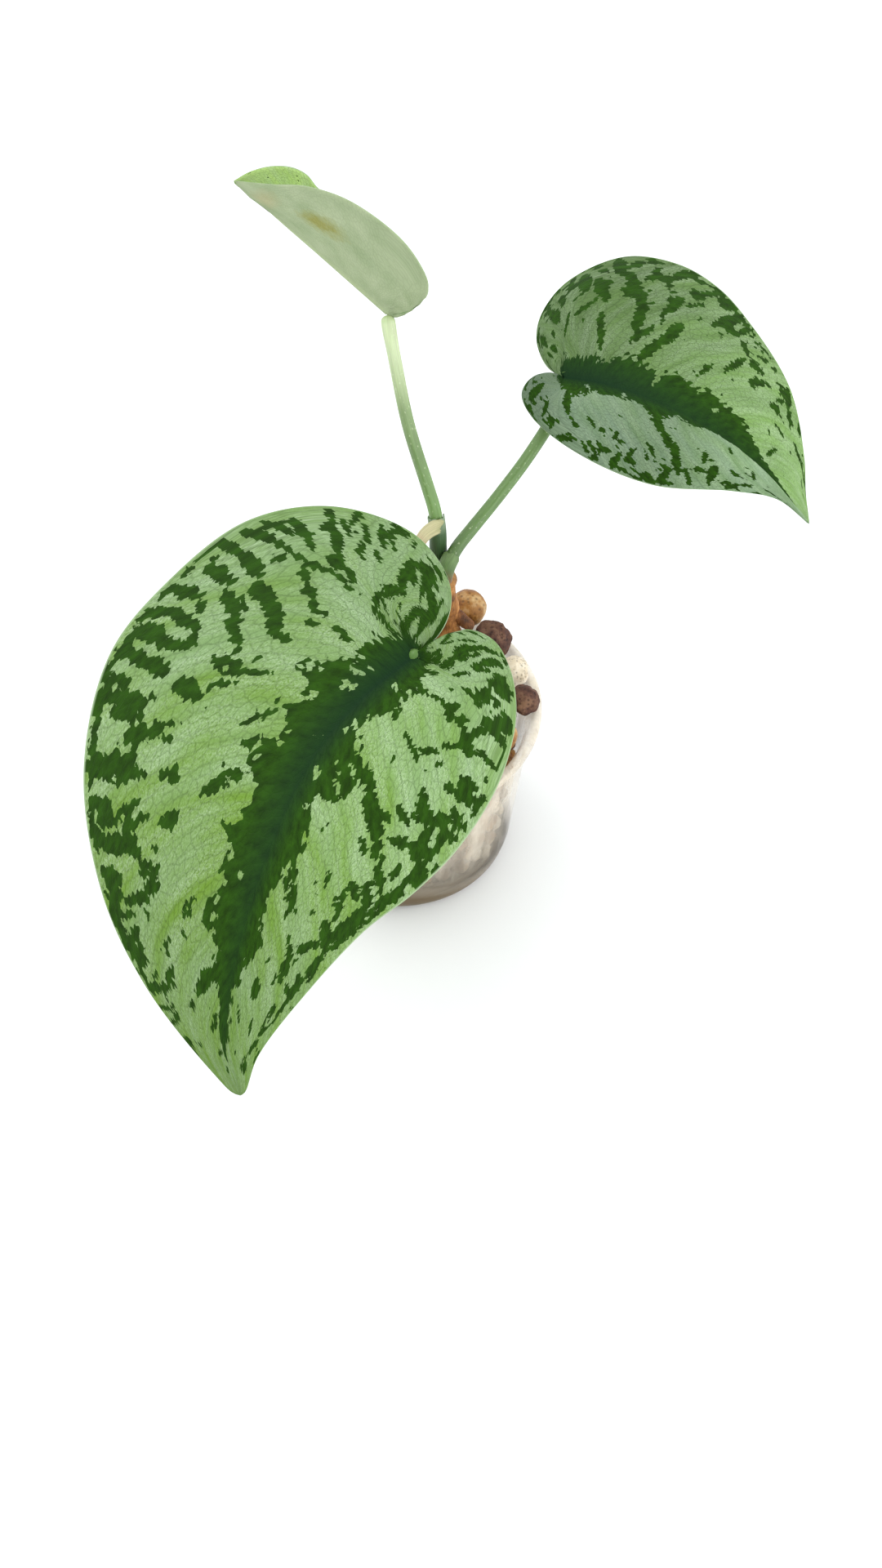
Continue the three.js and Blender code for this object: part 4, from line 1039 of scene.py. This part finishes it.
        "midrib": [(8.5, 0.2, 0.3), (17.2, 0.4, 0.6), (27, 0.2, 0.2)],
        "tip": (36.8, 0, -0.2), "keel": 0.1, "rib_shade": 0.13,
        "blemishes": [
            ((0.58, 0.615, 0), (0.14, 0.105), 0.9, "#8A8A3C"),
            ((0.62, 0.85, 0), (0.3, 0.07), 0.4, "#B0A070"),
        ],
        "left": {
            "silver": ("#86A670", "#7EA04E"), "lime": 0.6, "mottled": 0.5,
            "painted_light_along": [(0, 80), (100, 80)],
            "margin": [
                (-2.4, -1.8, 2.6), (-4, -2.8, 5.6), (-4, -3, 9.2), (-1.6, -2.3, 12.7), (3.3, -1.6, 15.3),
                (13.5, -0.8, 15.1), (22.2, -0.3, 11.3), (29, 0.1, 6.0),
            ],
            "band": [
                (0, 8), (30, 12), (45, 20), (60, 16), (75, 14), (90, 8), (100, 0),
            ],
            "streaks": [
                (30, 42, 60, 44, 1.1), (50, 60, 75, 66, 1.1), (70, 30, 90, 25, 1.3), (35, 26, 62, 22, 1.2),
                (70, 46, 92, 50, 1.2), (60, 76, 84, 80, 0.9), (40, 52, 66, 54, 0.8), (78, 62, 92, 66, 1.0),
            ],
            "flecks": [
                (10, 50, 15, 51, 0.4),
            ],
        },
        "right": {
            "silver": ("#A8CA70", "#B0D078"), "lime": 0.4, "mottled": 0.0,
            "painted_light_along": [(0, 84), (100, 84)],
            "margin": [
                (-1.2, -3.6, 1.8), (-2.6, -6.4, 3.2), (2, -9.2, 4.3), (10, -10.2, 4.2), (19, -9.4, 3.2),
                (25, -8.2, 3.3), (27.6, -7.8, 4.5), (30, -6.4, 5.1), (33, -4.4, 4), (35.4, -2, 2),
            ],
            "band": [
                (0, 8), (30, 10), (45, 18), (60, 14), (75, 12), (90, 6), (100, 0),
            ],
            "streaks": [
                (30, 20, 60, 18, 1.2),
            ],
            "flecks": [
                (10, 40, 15, 41, 0.4),
            ],
        },
    },
}


def smooth_step(low, high, value):
    """0 up to low, 1 from high on, and a smooth rise between them."""
    share = np.clip((value - low) / (high - low), 0, 1)
    return share * share * (3 - 2 * share)


def half_blade(leaf, side):
    """One half as rows along its side veins: its points, and at each its shares out and on and its row's
    length."""
    rows, columns = leaf["rows"], leaf["columns"]
    margin = leaf[side]["margin"]
    on = np.linspace(0, 1, rows + 1)
    edge = smooth_curve([(0, 0, 0), *margin, leaf["tip"]], on)
    from_fan = np.clip((on - leaf["fan"]) / (1 - leaf["fan"]), 0, 1)
    rib = smooth_curve([(0, 0, 0), *leaf["midrib"], leaf["tip"]], from_fan)
    chord = edge - rib
    length = np.linalg.norm(chord, axis=1)
    longest = max(abs(p[1]) for p in margin)
    hand = np.sign(sum(p[1] for p in margin))
    # The rows of the lobes fan out from the joint, each a little further round than the one before.
    bearing = np.unwrap(np.arctan2(hand * chord[:, 1], chord[:, 0]))
    fanned = bearing.copy()
    for i in range(int(leaf["fan"] * rows), 1, -1):
        fanned[i - 1] = max(bearing[i - 1], fanned[i] + lobe_turn)
    for i in np.flatnonzero(fanned > bearing):
        across = math.hypot(chord[i, 0], chord[i, 1])
        chord[i, :2] = across * math.cos(fanned[i]), hand * across * math.sin(fanned[i])
    back = np.stack([-hand * chord[:, 1], hand * chord[:, 0], 0 * on], 1)
    rim = (np.minimum(rim_band, 0.3 * length) / np.maximum(length, 1e-6))[:, None]
    inner = np.linspace(0, 1, columns + 2 - len(rim_steps))[:-1]
    out = np.hstack([inner * (1 - rim), 1 - np.array(rim_steps) / rim_band * rim])
    hump = 4 * out * (1 - out)
    points = rib[:, None] + chord[:, None] * out[..., None]
    bow = leaf["bow"] * on * (1 - on) * 2
    points += back[:, None] * (hump * bow[:, None])[..., None]
    dome = leaf["dome"] * np.minimum(1, length / longest) * smooth_step(0.0, 0.12, on)
    points[..., 2] += hump * dome[:, None]
    return points, out, on[:, None] + 0 * out, length[:, None] + 0 * out


def vein_line(out, on):
    """Which side vein a place lies on: it leaves the midrib and drifts towards the tip as it goes out,
    and those of the lobes curve round from the joint."""
    drifting = on - 0.2 * out
    curving = on - 0.08 * (1 / np.maximum(out, 0.15) - 1)
    share = smooth_step(0.2, 0.42, on)
    return curving * (1 - share) + drifting * share


def on_veins(out, on):
    """Millimetres along and across the side veins, the first negative on the right half."""
    return out * sheet_along, float(vein_line(abs(out), on)) * sheet_across


def leaf_axes(leaf):
    """The directions of a leaf's frame, as columns."""
    heading, droop, roll = (math.radians(leaf[k]) for k in ("heading", "droop", "roll"))
    turn = Matrix.Rotation(heading, 3, "Z") @ Matrix.Rotation(droop, 3, "Y") @ Matrix.Rotation(roll, 3, "X")
    return np.array(turn)


def blade_sheet(leaf):
    """The middle sheet of a blade, its two halves joined at the midrib and at the joint. Returns vertices,
    faces, corners as (share out, negative on the right half, share on), and at each vertex its shares out
    and on and its row's length."""
    points = []
    facts = []
    quads = []
    first = 0
    for side, sign in (("left", 1), ("right", -1)):
        half, out, on, length = half_blade(leaf, side)
        tall, wide = half.shape[:2]
        points.append(half.reshape(-1, 3))
        facts.append(np.stack([sign * out, on, length], -1).reshape(-1, 3))
        for i in range(tall - 1):
            for j in range(wide - 1):
                a = first + i * wide + j
                quad = [a, a + wide, a + wide + 1, a + 1]
                quads.append(quad if sign > 0 else quad[::-1])
        first += tall * wide
    points = np.vstack(points)
    facts = np.vstack(facts)
    _, keep, merged = np.unique(np.round(points, 5), axis=0, return_index=True, return_inverse=True)
    merged = merged.ravel()
    faces = []
    corners = []
    for quad in quads:
        corner = {}
        for i in quad:
            corner.setdefault(int(merged[i]), tuple(facts[i, :2]))
        if len(corner) > 2:
            faces.append(tuple(corner))
            corners.append(list(corner.values()))
    placed = np.array(leaf["joint"]) + points[keep] @ leaf_axes(leaf).T
    return placed, faces, corners, facts[keep]


def blade_relief(facts, keel_share):
    """How far the upper and lower skins stand from the middle sheet, in millimetres: the blade's
    thickness, thin at the margin behind a slight bead, the midrib as a groove above and a keel below, the
    side veins, and the leaf puffed up a little between them. A young blade has only a share of the keel."""
    out, on, length = np.abs(facts[:, 0]), facts[:, 1], facts[:, 2]
    from_margin = (1 - out) * length
    from_rib = out * length
    half = blade_half * np.sqrt(1 - (1 - np.clip(from_margin / blade_half, 0, 1)) ** 2) + 0.02
    bead = 0.09 * np.exp(-(((from_margin - 0.45) / 0.25) ** 2))
    line = vein_line(out, on)
    fade = smooth_step(2, 8, from_rib) * (1 - 0.7 * out) * smooth_step(0.3, 2.5, from_margin)
    off_vein = (line / vein_spacing - np.round(line / vein_spacing)) * vein_spacing * sheet_across
    ridge = np.exp(-((off_vein / 0.5) ** 2)) * fade
    puff = 0.2 * (0.5 - 0.5 * np.cos(2 * np.pi * line / vein_spacing)) * fade
    keel = keel_share * np.exp(-((from_rib / 0.9) ** 2)) * smooth_step(0.0, 0.04, 1 - on)
    above = half + bead + puff - 0.06 * ridge - 0.2 * np.exp(-((from_rib / 0.55) ** 2)) * (1 - on)
    below = half + bead - puff + 0.16 * ridge + keel * (0.15 + 0.75 * (1 - on))
    return above, below


def shape_curve(curve, points):
    """Gives a curve node its points, in hundredths, with straight lines between them."""
    first, *between, last = ((x / 100, y / 100) for x, y in points)
    line = curve.mapping.curves[0]
    line.points[0].location = first
    line.points[1].location = last
    for point in between:
        line.points.new(*point)
    for point in line.points:
        point.handle_type = "VECTOR"
    curve.mapping.update()
    return curve


def nearest_streak(tree, metric, streaks, field):
    """field, or how far a place is into the nearest streak if that is less: 0 on its axis, 1 at its edge.
    A streak is an ellipse, so its edge is where the distances to its two foci add up to its length."""
    for out, on, far_out, far_on, half_width in streaks:
        start = np.array((out * sheet_along, on * sheet_across, 0)) / 100
        end = np.array((far_out * sheet_along, far_on * sheet_across, 0)) / 100
        run = max(np.linalg.norm(end - start), 1e-6)
        half_length = run / 2 + half_width * 0.6
        focal = math.sqrt(max(0.01, half_length**2 - half_width**2))
        slope = 0.5 / (half_length - focal)
        to_focus = (end - start) / run * focal
        foci = [tuple((start + end) / 2 + to_focus * sign) for sign in (-1, 1)]
        reach = [node(tree, VECTOR, [metric, focus], operation="DISTANCE") for focus in foci]
        both = node(tree, MATH, reach, operation="ADD")
        into = node(tree, MATH, [both, slope, -focal * 2 * slope], operation="MULTIPLY_ADD")
        field = node(tree, MATH, [field, into], operation="MINIMUM")
    return field


def blade_face(name, leaf, half):
    """The upper skin of half a blade. The finest veins part it into cells about a millimetre long, and each
    is silver or green as a whole. Maps: "place" holds the shares out and on, "veins" millimetres along
    and across the side veins."""
    material, tree, shader = new_material(name)
    place = node(tree, VECTOR, [node(tree, "ShaderNodeUVMap", uv_map="place")], operation="ABSOLUTE")
    veins = node(tree, "ShaderNodeUVMap", uv_map="veins")
    veins = node(tree, VECTOR, [veins, (0, sheet_across, 0)], operation="ADD")
    veins = node(tree, VECTOR, [veins], operation="ABSOLUTE")

    # The cells, with uneven edges, and the place of each one's middle, which drifts a little.
    wander = node(tree, NOISE, {"Vector": veins, "Scale": 1.6, "Roughness": 0.6}).outputs["Color"]
    shake = node(tree, VECTOR, [wander, (0.5, 0.5, 0.5)], operation="SUBTRACT")
    shaken = node(tree, VECTOR, [shake, (0.7, 0.4, 0), veins], operation="MULTIPLY_ADD")
    in_cells = node(tree, VECTOR, [shaken, (1 / cell_along, 1 / cell_across, 0)], operation="MULTIPLY")
    cells = node(tree, VORONOI, {"Vector": in_cells, "Scale": 1.0}, voronoi_dimensions="2D").outputs
    to_centre = node(tree, VECTOR, [cells["Position"], in_cells], operation="SUBTRACT")
    cell_share = (0.9 * cell_along / sheet_along, 0.6 * cell_across / sheet_across, 0)
    centre = node(tree, VECTOR, [to_centre, cell_share, place], operation="MULTIPLY_ADD")
    chance = node(tree, "ShaderNodeSeparateColor", [cells["Color"]])
    metric = node(tree, VECTOR, [centre, (sheet_along, sheet_across, 0)], operation="MULTIPLY")
    wander = node(tree, NOISE, {"Vector": metric, "Scale": 0.5, "Roughness": 0.6}).outputs["Color"]
    drift = node(tree, VECTOR, [wander, (0.5, 0.5, 0.5)], operation="SUBTRACT")
    metric = node(tree, VECTOR, [drift, (1.8, 1.2, 0), metric], operation="MULTIPLY_ADD")

    # Where it is silver: outside the band along the midrib, the dark streaks and the dark spots, which
    # crowd near the margin, and in the flecks.
    drifted = node(tree, "ShaderNodeSeparateXYZ", [metric]).outputs
    out = node(tree, MATH, [drifted["X"], 1 / sheet_along], operation="MULTIPLY")
    on = node(tree, MATH, [drifted["Y"], 1 / sheet_across], operation="MULTIPLY")
    band = shape_curve(node(tree, CURVE, {"Value": on}), half["band"])
    band = node(tree, MATH, [band, 0.004], operation="MAXIMUM")
    field = node(tree, MATH, [out, band], operation="DIVIDE")
    field = nearest_streak(tree, metric, half["streaks"], field)
    crowding = [(0, 0), (50, 0), (72, 50), (86, 80), (97, 70), (100, 0)]
    crowd = shape_curve(node(tree, CURVE, {"Value": out}), crowding)
    crowd = node(tree, MATH, [crowd, half["mottled"]], operation="MULTIPLY")
    spots = node(tree, SPAN, [node(tree, NOISE, {"Vector": metric, "Scale": 0.24, "Detail": 1.5}), 0.3, 0.72])
    spots = node(tree, MATH, [spots, crowd], operation="SUBTRACT")
    spots = node(tree, MATH, [spots, 5.0, 1.0], operation="MULTIPLY_ADD")
    field = node(tree, MATH, [field, spots], operation="MINIMUM")
    field = node(tree, MATH, [field, node(tree, SPAN, [chance, 0, 1, -0.22, 0.12])], operation="ADD")
    fleck = nearest_streak(tree, metric, half["flecks"], 9.0)
    fleck = node(tree, MATH, [fleck, 1.0], operation="LESS_THAN")
    field = node(tree, MATH, [field, fleck], operation="MAXIMUM")
    silver = node(tree, MATH, [field, 0.999], operation="GREATER_THAN")

    # Green: deep blue-green along the midrib, brighter in places.
    here = node(tree, "ShaderNodeSeparateXYZ", [place]).outputs
    near_rib = node(tree, SPAN, [here["X"], 0.0, leaf["rib_shade"], 1, 0])
    fading = node(tree, SPAN, [here["Y"], 0.4, 0.95, 1, 0.3])
    deep = node(tree, MATH, [near_rib, fading], operation="MULTIPLY")
    stretched = node(tree, VECTOR, [veins, (0.35, 0.6, 0)], operation="MULTIPLY")
    brighter = node(tree, NOISE, {"Vector": stretched, "Scale": 1.0, "Detail": 4, "Roughness": 0.6})
    brighter = node(tree, SPAN, [brighter, 0.34, 0.66])
    green = node(tree, MIX, {0: brighter, 6: linear("#1B3506"), 7: linear("#2A4F0C")}, data_type="RGBA")
    green = node(tree, MIX, {0: deep, 6: green, 7: linear("#143019")}, data_type="RGBA")

    # Silver: sage, limer in long patches and towards the tip, with a grain of tiny pale points, whiter in
    # long strips along the side veins as a painted sheen, and the finest veins as a net. Its lightness along
    # the half is painted sheen and painted shade.
    stretched = node(tree, VECTOR, [veins, (0.045, 0.15, 0)], operation="MULTIPLY")
    limed = node(tree, SPAN, [node(tree, NOISE, {"Vector": stretched, "Scale": 1.0}), 0.32, 0.66])
    limed = node(tree, MATH, [limed, 0.9, half["lime"] - 0.7], operation="MULTIPLY_ADD")
    towards_tip = node(tree, SPAN, [here["Y"], 0.38, 0.7])
    limed = node(tree, MATH, [towards_tip, 0.6, limed], operation="MULTIPLY_ADD")
    grey, lime = (linear(hex_colour) for hex_colour in half["silver"])
    sage = node(tree, MIX, {0: limed, 6: grey, 7: lime}, data_type="RGBA")
    between = node(tree, VORONOI, {"Vector": in_cells, "Scale": 0.62}, **cell_edges)
    between = node(tree, SPAN, [between, 0.0, 0.12])
    across = node(tree, "ShaderNodeSeparateXYZ", [shaken]).outputs["Y"]
    off_line = node(tree, MATH, [across, side_line_spacing / 2], operation="PINGPONG")
    grain = node(tree, NOISE, {"Vector": veins, "Scale": 3.0, "Detail": 3, "Roughness": 0.8})
    # The pale points are whiter in long strips along the side veins: a painted sheen.
    stretched = node(tree, VECTOR, [veins, (0.06, 0.34, 0)], operation="MULTIPLY")
    sheen_strips = node(tree, NOISE, {"Vector": stretched, "Scale": 1.0, "Detail": 3})
    sheen_strips = node(tree, SPAN, [sheen_strips, 0.36, 0.66])
    sheen_strips = node(tree, MATH, [sheen_strips, 0.62, 0.06], operation="MULTIPLY_ADD")
    points = node(tree, MATH, [node(tree, SPAN, [grain, 0.36, 0.64]), sheen_strips], operation="MULTIPLY")
    sage = node(tree, MIX, {0: points, 6: sage, 7: linear("#B4CBA6")}, data_type="RGBA")
    # Painted light: the silver is lighter or darker along the half, as painted sheen and painted shade.
    painted_light_along = shape_curve(node(tree, CURVE, {"Value": here["Y"]}), half["painted_light_along"])
    shades = [
        node(tree, MATH, [painted_light_along, 1.25], operation="MULTIPLY"),
        node(tree, SPAN, [between, 0, 1, 0.76, 1.0]),
        node(tree, SPAN, [off_line, 0.03, 0.22, 0.86, 1.0]),
        node(tree, SPAN, [grain, 0.3, 0.7, 0.78, 1.06]),
    ]
    for shade in shades:
        sage = node(tree, MIX, {0: 1.0, 6: sage, 7: shade}, data_type="RGBA", blend_type="MULTIPLY")

    colour = node(tree, MIX, {0: silver, 6: green, 7: sage}, data_type="RGBA")
    # A pale band along the margin: partly the margin's own paler green, partly a painted highlight on the
    # edge.
    pale_edge_and_highlight = node(tree, SPAN, [here["X"], 0.984, 0.994])
    colour = node(tree, MIX, {0: pale_edge_and_highlight, 6: colour, 7: linear("#9DB38C")}, data_type="RGBA")
    raised = node(tree, MATH, [grain, 0.8, between], operation="MULTIPLY_ADD")
    bump = node(tree, "ShaderNodeBump", {"Height": raised, "Distance": 0.05 * MM, "Strength": 0.8})
    satin = node(tree, SPAN, [silver, 0, 1, 0.5, 0.6])
    feed(tree, shader, {"Base Color": colour, "Normal": bump, "Roughness": satin, "Specular IOR Level": 0.06})
    return material


def blade_back(name, blemishes):
    """The lower skin of a blade: pale dull sage, paler along the midrib and green at the joint. A blemish is
    a stain: its place and size as shares out and on, its strength and its colour."""
    material, tree, shader = new_material(name)
    place = node(tree, "ShaderNodeUVMap", uv_map="place")
    veins = node(tree, "ShaderNodeUVMap", uv_map="veins")
    here = node(tree, "ShaderNodeSeparateXYZ", [place]).outputs
    patches = node(tree, SPAN, [node(tree, NOISE, {"Vector": veins, "Scale": 0.1, "Detail": 3}), 0.3, 0.7])
    base = node(tree, MIX, {0: patches, 6: linear("#90A178"), 7: linear("#A5B28C")}, data_type="RGBA")
    at_rib = node(tree, SPAN, [node(tree, MATH, [here["X"]], operation="ABSOLUTE"), 0.02, 0.09, 0.55, 0])
    base = node(tree, MIX, {0: at_rib, 6: base, 7: linear("#AEBD8E")}, data_type="RGBA")
    at_joint = node(tree, SPAN, [here["Y"], 0.015, 0.06, 1, 0])
    base = node(tree, MIX, {0: at_joint, 6: base, 7: linear("#5F7F3C")}, data_type="RGBA")
    for middle, size, strength, hex_colour in blemishes:
        off = node(tree, VECTOR, [place, middle], operation="SUBTRACT")
        off = node(tree, VECTOR, [off, (1 / size[0], 1 / size[1], 0)], operation="MULTIPLY")
        wander = node(tree, NOISE, {"Vector": veins, "Scale": 0.4, "Detail": 3, "Roughness": 0.6})
        ragged = node(tree, VECTOR, [wander.outputs["Color"], (0.5, 0.5, 0.5)], operation="SUBTRACT")
        far = node(tree, VECTOR, [node(tree, VECTOR, [off, ragged], operation="ADD")], operation="LENGTH")
        stain = node(tree, SPAN, [far, 0.25, 1.1, strength, 0])
        base = node(tree, MIX, {0: stain, 6: base, 7: linear(hex_colour)}, data_type="RGBA")
    in_cells = node(tree, VECTOR, [veins, (0.6 / cell_along, 0.6 / cell_across, 0)], operation="MULTIPLY")
    between = node(tree, VORONOI, {"Vector": in_cells, "Scale": 1.0}, **cell_edges)
    between = node(tree, SPAN, [between, 0.0, 0.12])
    shade = node(tree, SPAN, [between, 0, 1, 0.92, 1.0])
    base = node(tree, MIX, {0: 1.0, 6: base, 7: shade}, data_type="RGBA", blend_type="MULTIPLY")
    grain = node(tree, NOISE, {"Vector": veins, "Scale": 4.0, "Detail": 3})
    raised = node(tree, MATH, [grain, 0.6, between], operation="MULTIPLY_ADD")
    bump = node(tree, "ShaderNodeBump", {"Height": raised, "Distance": 0.05 * MM, "Strength": 0.7})
    feed(tree, shader, {"Base Color": base, "Normal": bump, "Roughness": 0.55, "Specular IOR Level": 0.3})
    return material


for side, leaf in leaves.items():
    sheet, faces, corners, facts = blade_sheet(leaf)
    above, below = blade_relief(facts, leaf["keel"])
    skin, faces, corners, sides = thicken(sheet, faces, corners, above, below)
    finishes = [blade_face(f"satin_leaf_face_{side}_{half}", leaf, leaf[half]) for half in ("left", "right")]
    finishes.append(blade_back(f"pale_leaf_back_{side}", leaf["blemishes"]))
    on_right = [sum(x for x, _ in corner) < 0 for corner in corners]
    of_faces = [2 if s == 1 else int(right) for s, right in zip(sides, on_right)]
    blade = mesh_piece(f"leaf_blade_{side}", skin, faces, finishes, [f"blade_{side}"], of_faces)
    add_map(blade.data, "place", corners)
    add_map(blade.data, "veins", [[on_veins(x, y) for x, y in corner] for corner in corners])
